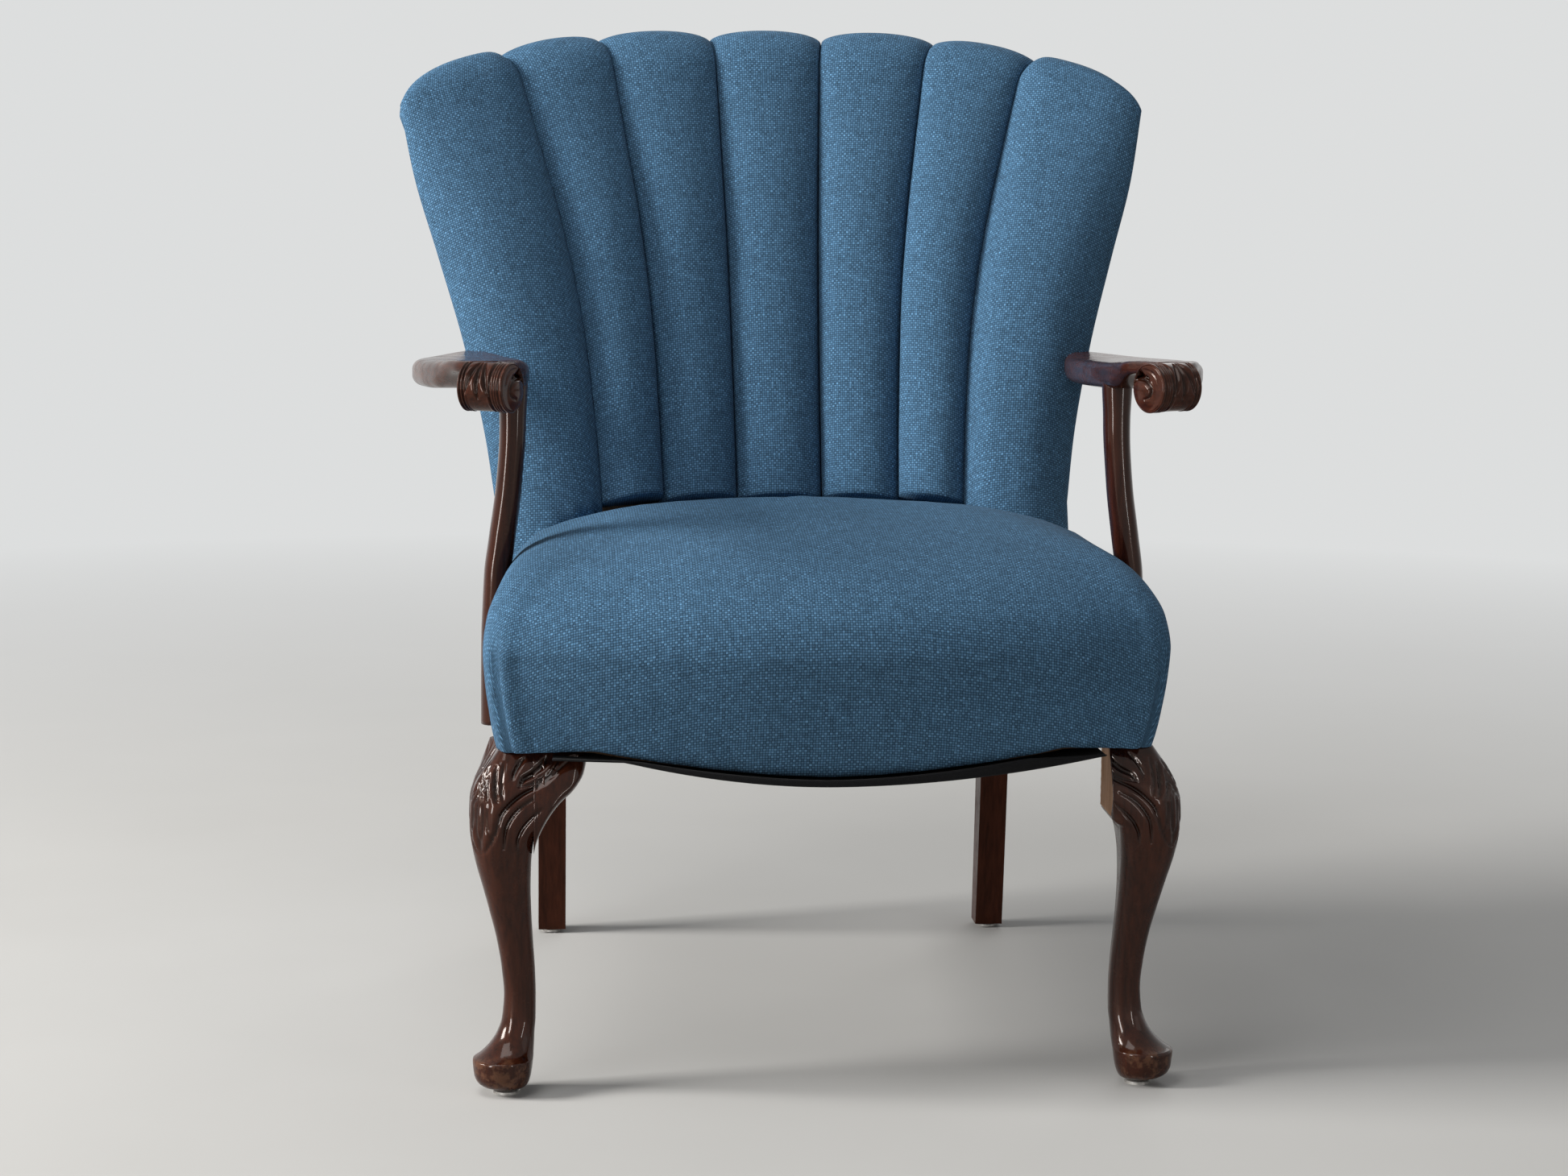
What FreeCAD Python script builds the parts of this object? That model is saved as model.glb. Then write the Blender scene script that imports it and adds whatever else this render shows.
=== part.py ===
import FreeCAD, Part
import math
import os

# A shell-back armchair with a fluted back, a sprung seat, open scrolled arms and cabriole front legs.
# Lengths are in millimetres, +Z is up, +X is the image right side, the front faces -Y.
# Everything is drawn from the floor and from the line through the two front glides.
# The origin is moved to the middle of the depth by origin_setback when each piece is written.

Vector = FreeCAD.Vector

# driving dimensions of the whole chair
origin_setback = 332.7
seat_fit_gap = 0.4
wood_fit_gap = 0.3
overrun = 4.0
cutter_reach = 140.0

# seat frame of rails, with the front rail bowed and dipped
rail_bottom = 284.0
rail_height = 62.0
rail_thickness = 24.0
front_rail_bow = 34.0
front_rail_dip = 14.0
front_rail_dip_half_width = 192.0
front_rail_rebate = 12.0
side_rail_front_x = 262.0
side_rail_rear_x = 225.0

# front leg, with the same curve on its outer and front faces
front_glide_x = 261.0
leg_blank = 66.0
post_inner_setback = 31.0
post_outer_setback = 2.0
post_front_setback = 4.0
glide_radius = 11.0
glide_height = 4.0
knee_block_reach = 32.0
knee_block_drop = 60.0
knee_block_depth = 34.0
knee_block_tip = 12.0

# rear leg and back stile in one curved plank
rear_leg_outer_x = 226.0
rear_leg_width = 26.0
rear_leg_foot_depth = 28.0
rear_leg_waist_depth = 38.0
rear_stile_top_y = 618.0
rear_stile_kink_y = 503.0
rear_stile_kink_height = 400.0
rear_leg_top_depth = 26.0
rear_foot_y = 530.0
rear_leg_waist_y = 497.0
rear_glide_radius = 9.0

# seat pad
seat_edge_half_width = 268.0
seat_widest_half_width = 279.0
seat_corner_y = -15.0
seat_front_y = -54.0
seat_front_bulge = 14.0
seat_rear_y = 496.0
seat_rear_half_width = 240.0
seat_crown_height = 461.0
seat_cover_thickness = 3.5
seat_corner_radius = 26.0
seat_deck_rise = 50.0
burlap_thickness = 1.2
webbing_width = 50.0
webbing_thickness = 1.3
spring_wire_radius = 1.9
spring_waist_radius = 24.0
spring_end_radius = 34.0
spring_turns = 3
spring_steps_per_turn = 8
spring_column_spacing = 130.0
spring_first_row_y = 85.0
spring_row_spacing = 145.0
spring_row_count = 3
strap_end_margin = 8.0

# shell back, taken along the seams between the flutes
back_half_width = 332.0
back_seat_y = 490.0
back_seat_height = 430.0
crest_y = 690.0
crest_height = 823.0
crest_roll_radius = 34.0
back_foot_height = 352.0
back_lap_drop = 71.0
seam_base_depth = 8.0
flute_bulge = 25.0
flute_crest_bulge = 13.0
flute_gap = 0.25
wing_bulge = 34.0
wing_crest_bulge = 17.0
wing_side_length = 52.0
wing_side_bulge = 7.0
wing_side_crest_bulge = 1.5
wing_edge_depth = 14.0
back_padding_depth = 12.0
crest_rail_drop = 58.0
crest_rail_end_x = 322.0
crest_rail_end_y = 594.0
crest_rail_end_drop = 50.0
crest_rail_end_radius = 8.0
lower_rail_height = 40.0
lower_rail_clearance = 2.0
wing_post_width = 22.0
wing_post_depth = 30.0
wing_post_foot_x = 216.5
wing_post_foot_y = 416.0
wing_post_top_x = 318.0
wing_post_top_y = 592.0
wing_post_top_drop = 63.0
outside_panel_thickness = 2.5
outside_low = 288.0
outside_lap = 3.0
outside_low_x = 227.0
outside_high_x = 273.0
outside_low_y = 535.6
outside_high_y = 656.0
outside_top_belly = 62.0
outside_low_belly = 0.5

# arms and arm posts
arm_thickness = 23.0
arm_front_top = 597.0
arm_rear_top = 573.0
arm_front_y = 10.0
arm_neck_inner_x = 247.0
arm_neck_outer_x = 297.0
arm_bow_inner_x = 240.0
arm_bow_outer_x = 330.0
arm_bow_y = 232.0
arm_end_inner_x = 271.0
arm_end_outer_x = 300.0
arm_edge_radius = 7.0
arm_rear_y = 487.8
scroll_radius = 20.0
scroll_length = 40.0
scroll_centre_x = 272.0
scroll_eye_radius = 12.5
scroll_eye_proud = 2.5
scroll_turn = 28.0
scroll_rim_radius = 3.0
scroll_groove = 2.0
arm_post_width = 23.0
arm_post_depth = 31.0
arm_post_y = 120.0
arm_post_top_x = 253.0
arm_post_foot_x = 268.6

# fixings and cloth
screw_radius = 2.2
screw_head_radius = 4.5
screw_head_height = 2.0
screw_length = 50.0
post_screw_length = 38.0
screw_hole_gap = 0.1
screw_low_share = 0.28
corner_block_reach = 74.0
corner_block_width = 80.0
corner_block_height = 40.0
corner_block_land = 10.0
corner_block_drop = 8.0
dust_cover_thickness = 0.8
dust_cover_sag = 7.0
dust_cover_rear_sag = 6.0
dust_cover_half_width = 256.0

# shares, counts and angles used in more than one place
half = 0.5
leg_curve_share = 0.58
glide_top_share = 0.8
knee_block_middle_share = 0.42
knee_block_rise_share = 0.55
knee_block_face_share = 0.36
seat_corner_growth_share = 0.2
arm_post_corner_share = 0.36
wing_back_way_shares = (-0.3, 0.95)
crest_blend_stations = 3
loft_degree = 3
right_angle = 90.0


def vec(x, y, z):
    return Vector(x, y, z)


def line(start, end):
    return Part.LineSegment(start, end).toShape()


def arc(start, middle, end):
    return Part.Arc(start, middle, end).toShape()


def closed_wire(edges):
    return Part.Wire(edges)


def polygon(points):
    return Part.makePolygon(points + [points[0]])


def prism(points, direction):
    return Part.Face(polygon(points)).extrude(direction)


def box(x0, x1, y0, y1, z0, z1):
    return Part.makeBox(x1 - x0, y1 - y0, z1 - z0, vec(x0, y0, z0))


def loft(wires, ruled=False):
    return Part.makeLoft(wires, True, ruled, False, loft_degree)


def mirrored(shape):
    return shape.mirror(vec(0, 0, 0), vec(1, 0, 0))


def both_sides(name, shape):
    save(name + "_right", shape)
    save(name + "_left", mirrored(shape))


def save(name, shape):
    placed = shape.copy()
    placed.translate(vec(0, -origin_setback, 0))
    placed.exportStep("parts/" + name + ".step")
    print(name, "solids", len(placed.Solids), "valid", placed.isValid(), "volume", round(placed.Volume))


def between(low, high, share):
    return low + (high - low) * share


def rounded_section(x0, x1, y0, y1, z, corner_share):
    """A level rectangle with round corners; the corner is a share of the shorter side."""
    radius = min(x1 - x0, y1 - y0) * corner_share
    lean = radius * (1 - math.sqrt(half))
    return closed_wire([
        line(vec(x0 + radius, y0, z), vec(x1 - radius, y0, z)),
        arc(vec(x1 - radius, y0, z), vec(x1 - lean, y0 + lean, z), vec(x1, y0 + radius, z)),
        line(vec(x1, y0 + radius, z), vec(x1, y1 - radius, z)),
        arc(vec(x1, y1 - radius, z), vec(x1 - lean, y1 - lean, z), vec(x1 - radius, y1, z)),
        line(vec(x1 - radius, y1, z), vec(x0 + radius, y1, z)),
        arc(vec(x0 + radius, y1, z), vec(x0 + lean, y1 - lean, z), vec(x0, y1 - radius, z)),
        line(vec(x0, y1 - radius, z), vec(x0, y0 + radius, z)),
        arc(vec(x0, y0 + radius, z), vec(x0 + lean, y0 + lean, z), vec(x0 + radius, y0, z)),
    ])


# heights that follow from the ones above
rail_top = rail_bottom + rail_height
seat_deck_height = rail_top + seat_deck_rise
back_padding_foot = seat_deck_height + overrun * half
back_lap_height = crest_height - back_lap_drop
outside_high = back_lap_height - outside_lap
crest_rail_low_height = crest_height - crest_rail_drop
crest_rail_end_height = crest_height - crest_rail_end_drop
wing_post_top_height = crest_height - wing_post_top_drop


# front legs
# height as a share of the leg, then the outer and inner faces as shares of the blank
leg_profile_shares = [
    (0.0146, 0.15, 0.18, 0.45),
    (0.036, 0.38, 0.27, 0.45),
    (0.057, 0.43, 0.30, 0.45),
    (0.078, 0.41, 0.32, 0.45),
    (0.104, 0.305, 0.335, 0.44),
    (0.132, 0.19, 0.34, 0.43),
    (0.166, 0.115, 0.35, 0.42),
    (0.211, 0.06, 0.36, 0.40),
    (0.282, 0.037, 0.367, 0.40),
    (0.352, 0.052, 0.357, 0.40),
    (0.44, 0.11, 0.333, 0.38),
    (0.53, 0.197, 0.312, 0.36),
    (0.606, 0.282, 0.303, 0.32),
    (0.677, 0.364, 0.309, 0.28),
    (0.74, 0.418, 0.333, 0.24),
    (0.80, 0.44, 0.36, 0.20),
]
knee_profile_shares = [
    (0.79, 0.438, 0.47, 0.20),
    (0.86, 0.43, 0.47, 0.18),
    (0.93, 0.30, 0.47, 0.16),
    (1.0, 0.10, 0.47, 0.10),
]
leg_height = rail_bottom - wood_fit_gap
post_inner_x = front_glide_x - post_inner_setback
post_outer_x = front_glide_x + post_outer_setback
post_front_y = -post_front_setback
post_rear_y = post_inner_setback


def leg_sections(profile_shares):
    sections = []
    for rise_share, outer_share, inner_share, corner_share in profile_shares:
        outer = leg_blank * outer_share
        inner = leg_blank * inner_share
        sections.append(rounded_section(
            front_glide_x - inner, front_glide_x + outer, -outer, inner, leg_height * rise_share, corner_share))
    return sections


def front_leg():
    """The S-curved leg, its knee sawn flat on the two inner faces, and the post in the seat frame."""
    curve = loft(leg_sections(leg_profile_shares))
    knee = loft(leg_sections(knee_profile_shares))
    post = box(post_inner_x, post_outer_x, post_front_y, post_rear_y, leg_height, rail_top)
    return curve.fuse(knee).fuse(post)


def glide(x, y, radius):
    foot = Part.makeCylinder(radius, glide_height * half, vec(x, y, 0))
    shoulder = Part.makeCone(radius, radius * glide_top_share, glide_height * half, vec(x, y, glide_height * half))
    return foot.fuse(shoulder)


def knee_block(along_x):
    """A curved bracket under a rail, its tall side glued to the leg."""
    top = rail_bottom - wood_fit_gap
    low = top - knee_block_drop
    tip_low = top - knee_block_tip
    middle_reach = knee_block_reach * knee_block_middle_share
    middle_height = between(low, tip_low, knee_block_rise_share)
    edges = [
        line(vec(0, 0, top), vec(0, 0, low)),
        arc(vec(0, 0, low), vec(middle_reach, 0, middle_height), vec(knee_block_reach, 0, tip_low)),
        line(vec(knee_block_reach, 0, tip_low), vec(knee_block_reach, 0, top)),
        line(vec(knee_block_reach, 0, top), vec(0, 0, top)),
    ]
    block = Part.Face(closed_wire(edges)).extrude(vec(0, knee_block_depth, 0))
    if along_x:
        block = mirrored(block)
        block.translate(vec(post_inner_x - wood_fit_gap, -leg_blank * knee_block_face_share, 0))
    else:
        block.rotate(vec(0, 0, 0), vec(0, 0, 1), right_angle)
        block.translate(vec(front_glide_x + leg_blank * knee_block_face_share, post_rear_y + wood_fit_gap, 0))
    return block


# seat frame
front_rail_face_y = post_front_y
front_rail_half = post_inner_x - wood_fit_gap


def bowed_band(z0, z1, thickness, setback):
    """The front rail's plan: two arcs joined by straight ends."""
    front = front_rail_face_y + setback
    rear = front + thickness
    edges = [
        arc(vec(-front_rail_half, front, z0), vec(0, front - front_rail_bow, z0),
            vec(front_rail_half, front, z0)),
        line(vec(front_rail_half, front, z0), vec(front_rail_half, rear, z0)),
        arc(vec(front_rail_half, rear, z0), vec(0, rear - front_rail_bow, z0),
            vec(-front_rail_half, rear, z0)),
        line(vec(-front_rail_half, rear, z0), vec(-front_rail_half, front, z0)),
    ]
    return Part.Face(closed_wire(edges)).extrude(vec(0, 0, z1 - z0))


def dip_window(depth, y0, y1):
    """The elevation below the rail line: a shallow curve between its two ends."""
    edges = [
        line(vec(front_rail_dip_half_width, y0, rail_top), vec(-front_rail_dip_half_width, y0, rail_top)),
        line(vec(-front_rail_dip_half_width, y0, rail_top),
             vec(-front_rail_dip_half_width, y0, rail_bottom)),
        arc(vec(-front_rail_dip_half_width, y0, rail_bottom), vec(0, y0, rail_bottom - depth),
            vec(front_rail_dip_half_width, y0, rail_bottom)),
        line(vec(front_rail_dip_half_width, y0, rail_bottom), vec(front_rail_dip_half_width, y0, rail_top)),
    ]
    return Part.Face(closed_wire(edges)).extrude(vec(0, y1 - y0, 0))


def front_rail():
    straight = bowed_band(rail_bottom, rail_top, rail_thickness, 0)
    apron = bowed_band(rail_bottom - front_rail_dip, rail_top, front_rail_rebate, 0)
    window = dip_window(front_rail_dip, -cutter_reach, leg_blank)
    return straight.fuse(apron.common(window)).removeSplitter()


rear_rail_front_y = rear_leg_waist_y - wood_fit_gap
back_rail_front_y = rear_leg_waist_y + rear_leg_waist_depth - rail_thickness


def side_rail():
    front = post_rear_y + wood_fit_gap
    points = [
        vec(side_rail_front_x, front, rail_bottom),
        vec(side_rail_rear_x, rear_rail_front_y, rail_bottom),
        vec(side_rail_rear_x - rail_thickness, rear_rail_front_y, rail_bottom),
        vec(side_rail_front_x - rail_thickness, front, rail_bottom),
    ]
    return prism(points, vec(0, 0, rail_height))


def back_rail():
    half_width = rear_leg_outer_x - rear_leg_width - wood_fit_gap
    return box(-half_width, half_width, back_rail_front_y, back_rail_front_y + rail_thickness,
               rail_bottom, rail_top)


def side_rail_x(y):
    """The side rail's outer face at a distance from the front."""
    front = post_rear_y + wood_fit_gap
    share = (y - front) / (rear_rail_front_y - front)
    return between(side_rail_front_x, side_rail_rear_x, share)


def front_block_outline():
    inner_face = post_rear_y + wood_fit_gap
    far = inner_face + corner_block_reach
    inside = rail_thickness + wood_fit_gap
    post_face = post_inner_x - wood_fit_gap
    return [
        (side_rail_x(inner_face) - inside, inner_face),
        (side_rail_x(far) - inside, far),
        (side_rail_x(far) - inside - corner_block_land, far),
        (post_face - corner_block_width, post_rear_y * half),
        (post_face - corner_block_width, -post_rear_y),
        (post_face, -post_rear_y),
        (post_face, inner_face),
    ]


def rear_block_outline():
    near = back_rail_front_y - wood_fit_gap
    far = near - corner_block_width
    inside = rail_thickness + wood_fit_gap
    leg_face = rear_leg_outer_x - rear_leg_width - wood_fit_gap
    return [
        (leg_face, near),
        (leg_face, rear_rail_front_y),
        (side_rail_x(rear_rail_front_y) - inside, rear_rail_front_y),
        (side_rail_x(far) - inside, far),
        (side_rail_x(far) - inside - corner_block_land, far),
        (leg_face - corner_block_reach, near - corner_block_land),
        (leg_face - corner_block_reach, near),
    ]


def corner_block(outline):
    """A brace in the angle of two rails, its long inner face sawn at a slant."""
    low = rail_bottom + corner_block_drop
    block = prism([vec(x, y, low) for x, y in outline], vec(0, 0, corner_block_height))
    room = bowed_band(rail_bottom, rail_top, cutter_reach, rail_thickness + wood_fit_gap - cutter_reach)
    return block.cut(room)


def screw(head, way, length, grow=0.0):
    """A plain countersunk wood screw, drawn from the middle of its head."""
    shank = Part.makeCylinder(screw_radius + grow, length + grow, head, way)
    cap = Part.makeCone(screw_head_radius + grow, screw_radius + grow, screw_head_height, head, way)
    return shank.fuse(cap)


def slant_point(outline, first, last, share):
    start = outline[first]
    end = outline[last]
    return between(start[0], end[0], share), between(start[1], end[1], share)


def corner_screws(grow=0.0):
    """Two screws in each brace, one into each rail, at different heights."""
    low = rail_bottom + corner_block_drop + corner_block_height * screw_low_share
    high = rail_bottom + corner_block_drop + corner_block_height * (1 - screw_low_share)
    screws = []
    for outline, first, last, way in (
            (front_block_outline(), 2, 3, vec(0, -1, 0)), (rear_block_outline(), 4, 5, vec(0, 1, 0))):
        x, y = slant_point(outline, first, last, screw_low_share)
        screws.append(screw(vec(x, y, low), vec(1, 0, 0), screw_length, grow))
        x, y = slant_point(outline, first, last, 1 - screw_low_share)
        screws.append(screw(vec(x, y, high), way, screw_length, grow))
    return screws


# shell back
# each seam: half width and setback at the seat, then half width, setback and height of the roll's
# centre and its radius, as shares of the named sizes, and the angles at which the back faces there
seam_shares = [
    (0.0, 1.0, 0.0, 1.0, 1.0, 1.0, 0.0, 0.0),
    (0.1220, 0.9918, 0.1657, 0.9957, 0.9964, 1.0, 8.0, 8.0),
    (0.3389, 0.9510, 0.4940, 0.9710, 0.9939, 0.9706, 24.0, 24.0),
    (0.5060, 0.8816, 0.7741, 0.9188, 0.9818, 0.8529, 42.0, 40.0),
    (0.7952, 0.8898, 1.0, 0.8551, 0.9392, 0.6471, -52.0, 46.0),
]
seams = [{
    "seat": (back_half_width * seat_x, back_seat_y * seat_y),
    "roll": (back_half_width * roll_x, crest_y * roll_y, crest_height * roll_z),
    "radius": crest_roll_radius * radius_share,
    "turn": turn,
    "rear": rear,
} for seat_x, seat_y, roll_x, roll_y, roll_z, radius_share, turn, rear in seam_shares]
flute_edges = [-3, -2, -1, 1, 2, 3]
rise_shares = [0.16, 0.4, 0.62, 0.82]
flare_shares = [0.06, 0.20, 0.43, 0.72]
wing_flare_shares = [0.10, 0.33, 0.60, 0.85]
roll_angles = [24.0, 50.0, 78.0, 106.0, 142.0]
lap_angle = 180.0
station_count = len(rise_shares) + len(roll_angles) + 2


def face_normal(seam, lift):
    """The way the upholstery faces: forwards on the back, up on the crest, then rearwards."""
    lift_angle = math.radians(lift)
    level = math.cos(lift_angle)
    turn_angle = math.radians(seam["turn"] if level > 0 else seam["rear"])
    return vec(-math.sin(turn_angle) * level, -math.cos(turn_angle) * level, math.sin(lift_angle))


def roll_point(seam, lift):
    return vec(*seam["roll"]) + face_normal(seam, lift) * seam["radius"]


def seam_point(index, station, depth, foot_height=back_foot_height):
    """A point on a seam line, sunk by depth into the back, and the way the seam faces."""
    seam = seams[abs(index)]
    seat = vec(seam["seat"][0], seam["seat"][1], back_seat_height)
    start = roll_point(seam, roll_angles[0])
    rise_count = len(rise_shares)
    if station == 0:
        share = (foot_height - seat.z) / (start.z - seat.z)
        point = vec(seat.x, between(seat.y, start.y, share), foot_height)
        normal = face_normal(seam, 0)
    elif station <= rise_count:
        share = rise_shares[station - 1]
        table = wing_flare_shares if abs(index) == len(seams) - 1 else flare_shares
        point = vec(between(seat.x, start.x, table[station - 1]),
                    between(seat.y, start.y, share), between(seat.z, start.z, share))
        normal = face_normal(seam, roll_angles[0])
    elif station <= rise_count + len(roll_angles):
        lift = roll_angles[station - rise_count - 1]
        point = roll_point(seam, lift)
        normal = face_normal(seam, lift)
    else:
        normal = face_normal(seam, lap_angle)
        normal.z = 0
        rolled = roll_point(seam, lap_angle)
        point = vec(rolled.x, rolled.y, back_lap_height)
    point = point - normal * depth
    if index < 0:
        point.x = -point.x
        normal = vec(-normal.x, normal.y, normal.z)
    return point, normal


def crest_blend(station):
    """How far a station has gone from the flat of the back towards the crest."""
    return min(1, max(0, (station - len(rise_shares) + 1) / crest_blend_stations))


def flute_section(left, right, station):
    bulge = between(flute_bulge, flute_crest_bulge, crest_blend(station))
    first, first_normal = seam_point(left, station, 0)
    last, last_normal = seam_point(right, station, 0)
    first_base = seam_point(left, station, seam_base_depth)[0]
    last_base = seam_point(right, station, seam_base_depth)[0]
    across = (last - first).normalize() * flute_gap
    middle_normal = (first_normal + last_normal).normalize()
    middle = (first + last) * half + middle_normal * bulge
    first = first + across
    first_base = first_base + across
    last = last - across
    last_base = last_base - across
    return closed_wire([
        arc(first, middle, last),
        line(last, last_base),
        line(last_base, first_base),
        line(first_base, first),
    ])


def flute(left, right):
    return loft([flute_section(left, right, station) for station in range(station_count)], True)


def wing_section(station):
    inner_index = len(seams) - 2
    edge_index = len(seams) - 1
    blend = crest_blend(station)
    bulge = between(wing_bulge, wing_crest_bulge, blend)
    first, first_normal = seam_point(inner_index, station, 0)
    edge, edge_normal = seam_point(edge_index, station, 0)
    base = seam_point(inner_index, station, seam_base_depth)[0]
    across = (edge - first).normalize() * flute_gap
    middle_normal = (first_normal + edge_normal).normalize()
    middle = (first + edge) * half + middle_normal * bulge
    rear = wing_rear_point(station)
    side_way = (rear - edge).normalize()
    side_middle = (edge + rear) * half
    outward = side_middle - (middle + base) * half
    outward = (outward - side_way * outward.dot(side_way)).normalize()
    side_middle = side_middle + outward * between(wing_side_bulge, wing_side_crest_bulge, blend)
    first = first + across
    base = base + across
    return closed_wire([
        arc(first, middle, edge),
        arc(edge, side_middle, rear),
        line(rear, base),
        line(base, first),
    ])


def wing_flute():
    return loft([wing_section(station) for station in range(station_count)], True)


# seat pad
# height as a share of the pad, then how far the sides, the front corners and the
# front middle stand in from the widest line, as shares of the pad's half width
seat_form_shares = [
    (-0.09, 0.060, -0.060, -0.080, 0.0, 0.0),
    (0.0, 0.040, -0.045, -0.060, 0.0, 0.0),
    (0.16, 0.020, -0.022, -0.028, 0.0, 0.0),
    (0.32, 0.006, -0.006, -0.008, 0.0, 0.0),
    (0.46, 0.0, 0.0, 0.0, 0.0, 0.0),
    (0.60, 0.012, 0.034, 0.030, 0.0, 0.01),
    (0.71, 0.045, 0.105, 0.098, 0.0, 0.03),
    (0.81, 0.105, 0.215, 0.215, 0.01, 0.07),
    (0.89, 0.22, 0.37, 0.375, 0.03, 0.16),
    (0.955, 0.43, 0.60, 0.61, 0.10, 0.34),
    (1.0, 0.72, 0.90, 0.92, 0.30, 0.62),
]


def seat_section(rise_share, side_share, corner_share, front_share, rear_share, rear_side_share, inset):
    width = seat_widest_half_width
    pad_height = seat_crown_height - rail_bottom
    top_drop = inset * rise_share
    z = rail_bottom + pad_height * rise_share - top_drop
    side = width * (1 - side_share) - inset
    rear_side = (seat_rear_half_width - inset) * (1 - rear_side_share)
    corner_y = seat_corner_y - seat_front_bulge + width * abs(corner_share) + inset
    front_y = seat_front_y - seat_front_bulge + width * abs(front_share) + inset
    rear_y = seat_rear_y - width * rear_share - inset
    radius = seat_corner_radius + width * side_share * seat_corner_growth_share
    lean = radius * (1 - math.sqrt(half))
    return closed_wire([
        arc(vec(-side + radius, corner_y, z), vec(0, front_y, z), vec(side - radius, corner_y, z)),
        arc(vec(side - radius, corner_y, z), vec(side - lean, corner_y + lean, z),
            vec(side, corner_y + radius, z)),
        line(vec(side, corner_y + radius, z), vec(rear_side, rear_y - radius, z)),
        arc(vec(rear_side, rear_y - radius, z), vec(rear_side - lean, rear_y - lean, z),
            vec(rear_side - radius, rear_y, z)),
        line(vec(rear_side - radius, rear_y, z), vec(-rear_side + radius, rear_y, z)),
        arc(vec(-rear_side + radius, rear_y, z), vec(-rear_side + lean, rear_y - lean, z),
            vec(-rear_side, rear_y - radius, z)),
        line(vec(-rear_side, rear_y - radius, z), vec(-side, corner_y + radius, z)),
        arc(vec(-side, corner_y + radius, z), vec(-side + lean, corner_y + lean, z),
            vec(-side + radius, corner_y, z)),
    ])


def seat_form(inset):
    return loft([seat_section(*shares, inset) for shares in seat_form_shares])


def rear_leg():
    """One curved plank: the raked leg below the seat and the stile of the back above it."""
    x0 = rear_leg_outer_x - rear_leg_width
    foot_rear = rear_foot_y + rear_leg_foot_depth
    waist_rear = rear_leg_waist_y + rear_leg_waist_depth
    top = crest_rail_low_height - wood_fit_gap
    front_curve = vec(x0, between(rear_foot_y, rear_leg_waist_y, leg_curve_share), leg_height * half)
    rear_curve = vec(x0, between(foot_rear, waist_rear, leg_curve_share), leg_height * half)
    edges = [
        arc(vec(x0, rear_foot_y, glide_height), front_curve, vec(x0, rear_leg_waist_y, leg_height)),
        line(vec(x0, rear_leg_waist_y, leg_height), vec(x0, rear_leg_waist_y, rail_top)),
        line(vec(x0, rear_leg_waist_y, rail_top), vec(x0, rear_stile_kink_y, rear_stile_kink_height)),
        line(vec(x0, rear_stile_kink_y, rear_stile_kink_height), vec(x0, rear_stile_top_y, top)),
        line(vec(x0, rear_stile_top_y, top), vec(x0, rear_stile_top_y + rear_leg_top_depth, top)),
        line(vec(x0, rear_stile_top_y + rear_leg_top_depth, top), vec(x0, waist_rear, rail_top)),
        line(vec(x0, waist_rear, rail_top), vec(x0, waist_rear, leg_height)),
        arc(vec(x0, waist_rear, leg_height), rear_curve, vec(x0, foot_rear, glide_height)),
        line(vec(x0, foot_rear, glide_height), vec(x0, rear_foot_y, glide_height)),
    ]
    return Part.Face(closed_wire(edges)).extrude(vec(rear_leg_width, 0, 0))


def crest_section(centre, front_way, radius, low, slope, grow):
    """A round top that the flutes roll over, and a tail leaning down along the back."""
    radius = radius + grow
    up = vec(0, 0, radius)
    drop = centre.z - low + grow
    tail = front_way * (drop * slope) - vec(0, 0, drop)
    slant = math.sqrt(half)
    front = centre + front_way * radius
    rear = centre - front_way * radius
    return closed_wire([
        arc(front, centre + front_way * (radius * slant) + up * slant, centre + up),
        arc(centre + up, centre - front_way * (radius * slant) + up * slant, rear),
        line(rear, rear + tail),
        line(rear + tail, front + tail),
        line(front + tail, front),
    ])


def back_slope(seam):
    """How far the back comes forward for each unit that it goes down, along a seam."""
    seat = vec(seam["seat"][0], seam["seat"][1], back_seat_height)
    start = roll_point(seam, roll_angles[0])
    return (seat - start).dot(face_normal(seam, 0)) / (start.z - seat.z)


def crest_end(side, grow):
    """The rail's end over the wing post."""
    turn = math.radians(seams[-1]["rear"])
    front_way = vec(-math.sin(turn) * side, -math.cos(turn), 0)
    centre = vec((crest_rail_end_x + grow) * side, crest_rail_end_y, crest_rail_end_height)
    low = wing_post_top_height + wood_fit_gap
    return crest_section(centre, front_way, crest_rail_end_radius, low, back_slope(seams[-2]), grow)


def crest_rail(grow=0.0):
    """A bent rail along the top of the shell, from one wing post to the other."""
    sections = [crest_end(-1, grow)]
    for index in flute_edges:
        seam = seams[abs(index)]
        side = math.copysign(1, index)
        front_way = face_normal(seam, 0)
        front_way.x = front_way.x * side
        centre = vec(seam["roll"][0] * side, seam["roll"][1], seam["roll"][2])
        radius = seam["radius"] - seam_base_depth - back_padding_depth - webbing_thickness - 2 * wood_fit_gap
        sections.append(crest_section(centre, front_way, radius, crest_rail_low_height, back_slope(seam), grow))
    sections.append(crest_end(1, grow))
    return loft(sections, True)


def level_seam(index, height, depth):
    """A point below the roll, at a stated height on a seam line."""
    seam = seams[abs(index)]
    start = roll_point(seam, roll_angles[0])
    share = (height - back_seat_height) / (start.z - back_seat_height)
    normal = face_normal(seam, 0)
    x = between(seam["seat"][0], start.x, max(0, share) * flare_shares[0] / rise_shares[0])
    point = vec(x, between(seam["seat"][1], start.y, share), height) - normal * depth
    if index < 0:
        point.x = -point.x
    return point


lower_rail_low = back_padding_foot + 2 * wood_fit_gap
lower_rail_depth = seam_base_depth + back_padding_depth + webbing_thickness + lower_rail_clearance


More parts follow.
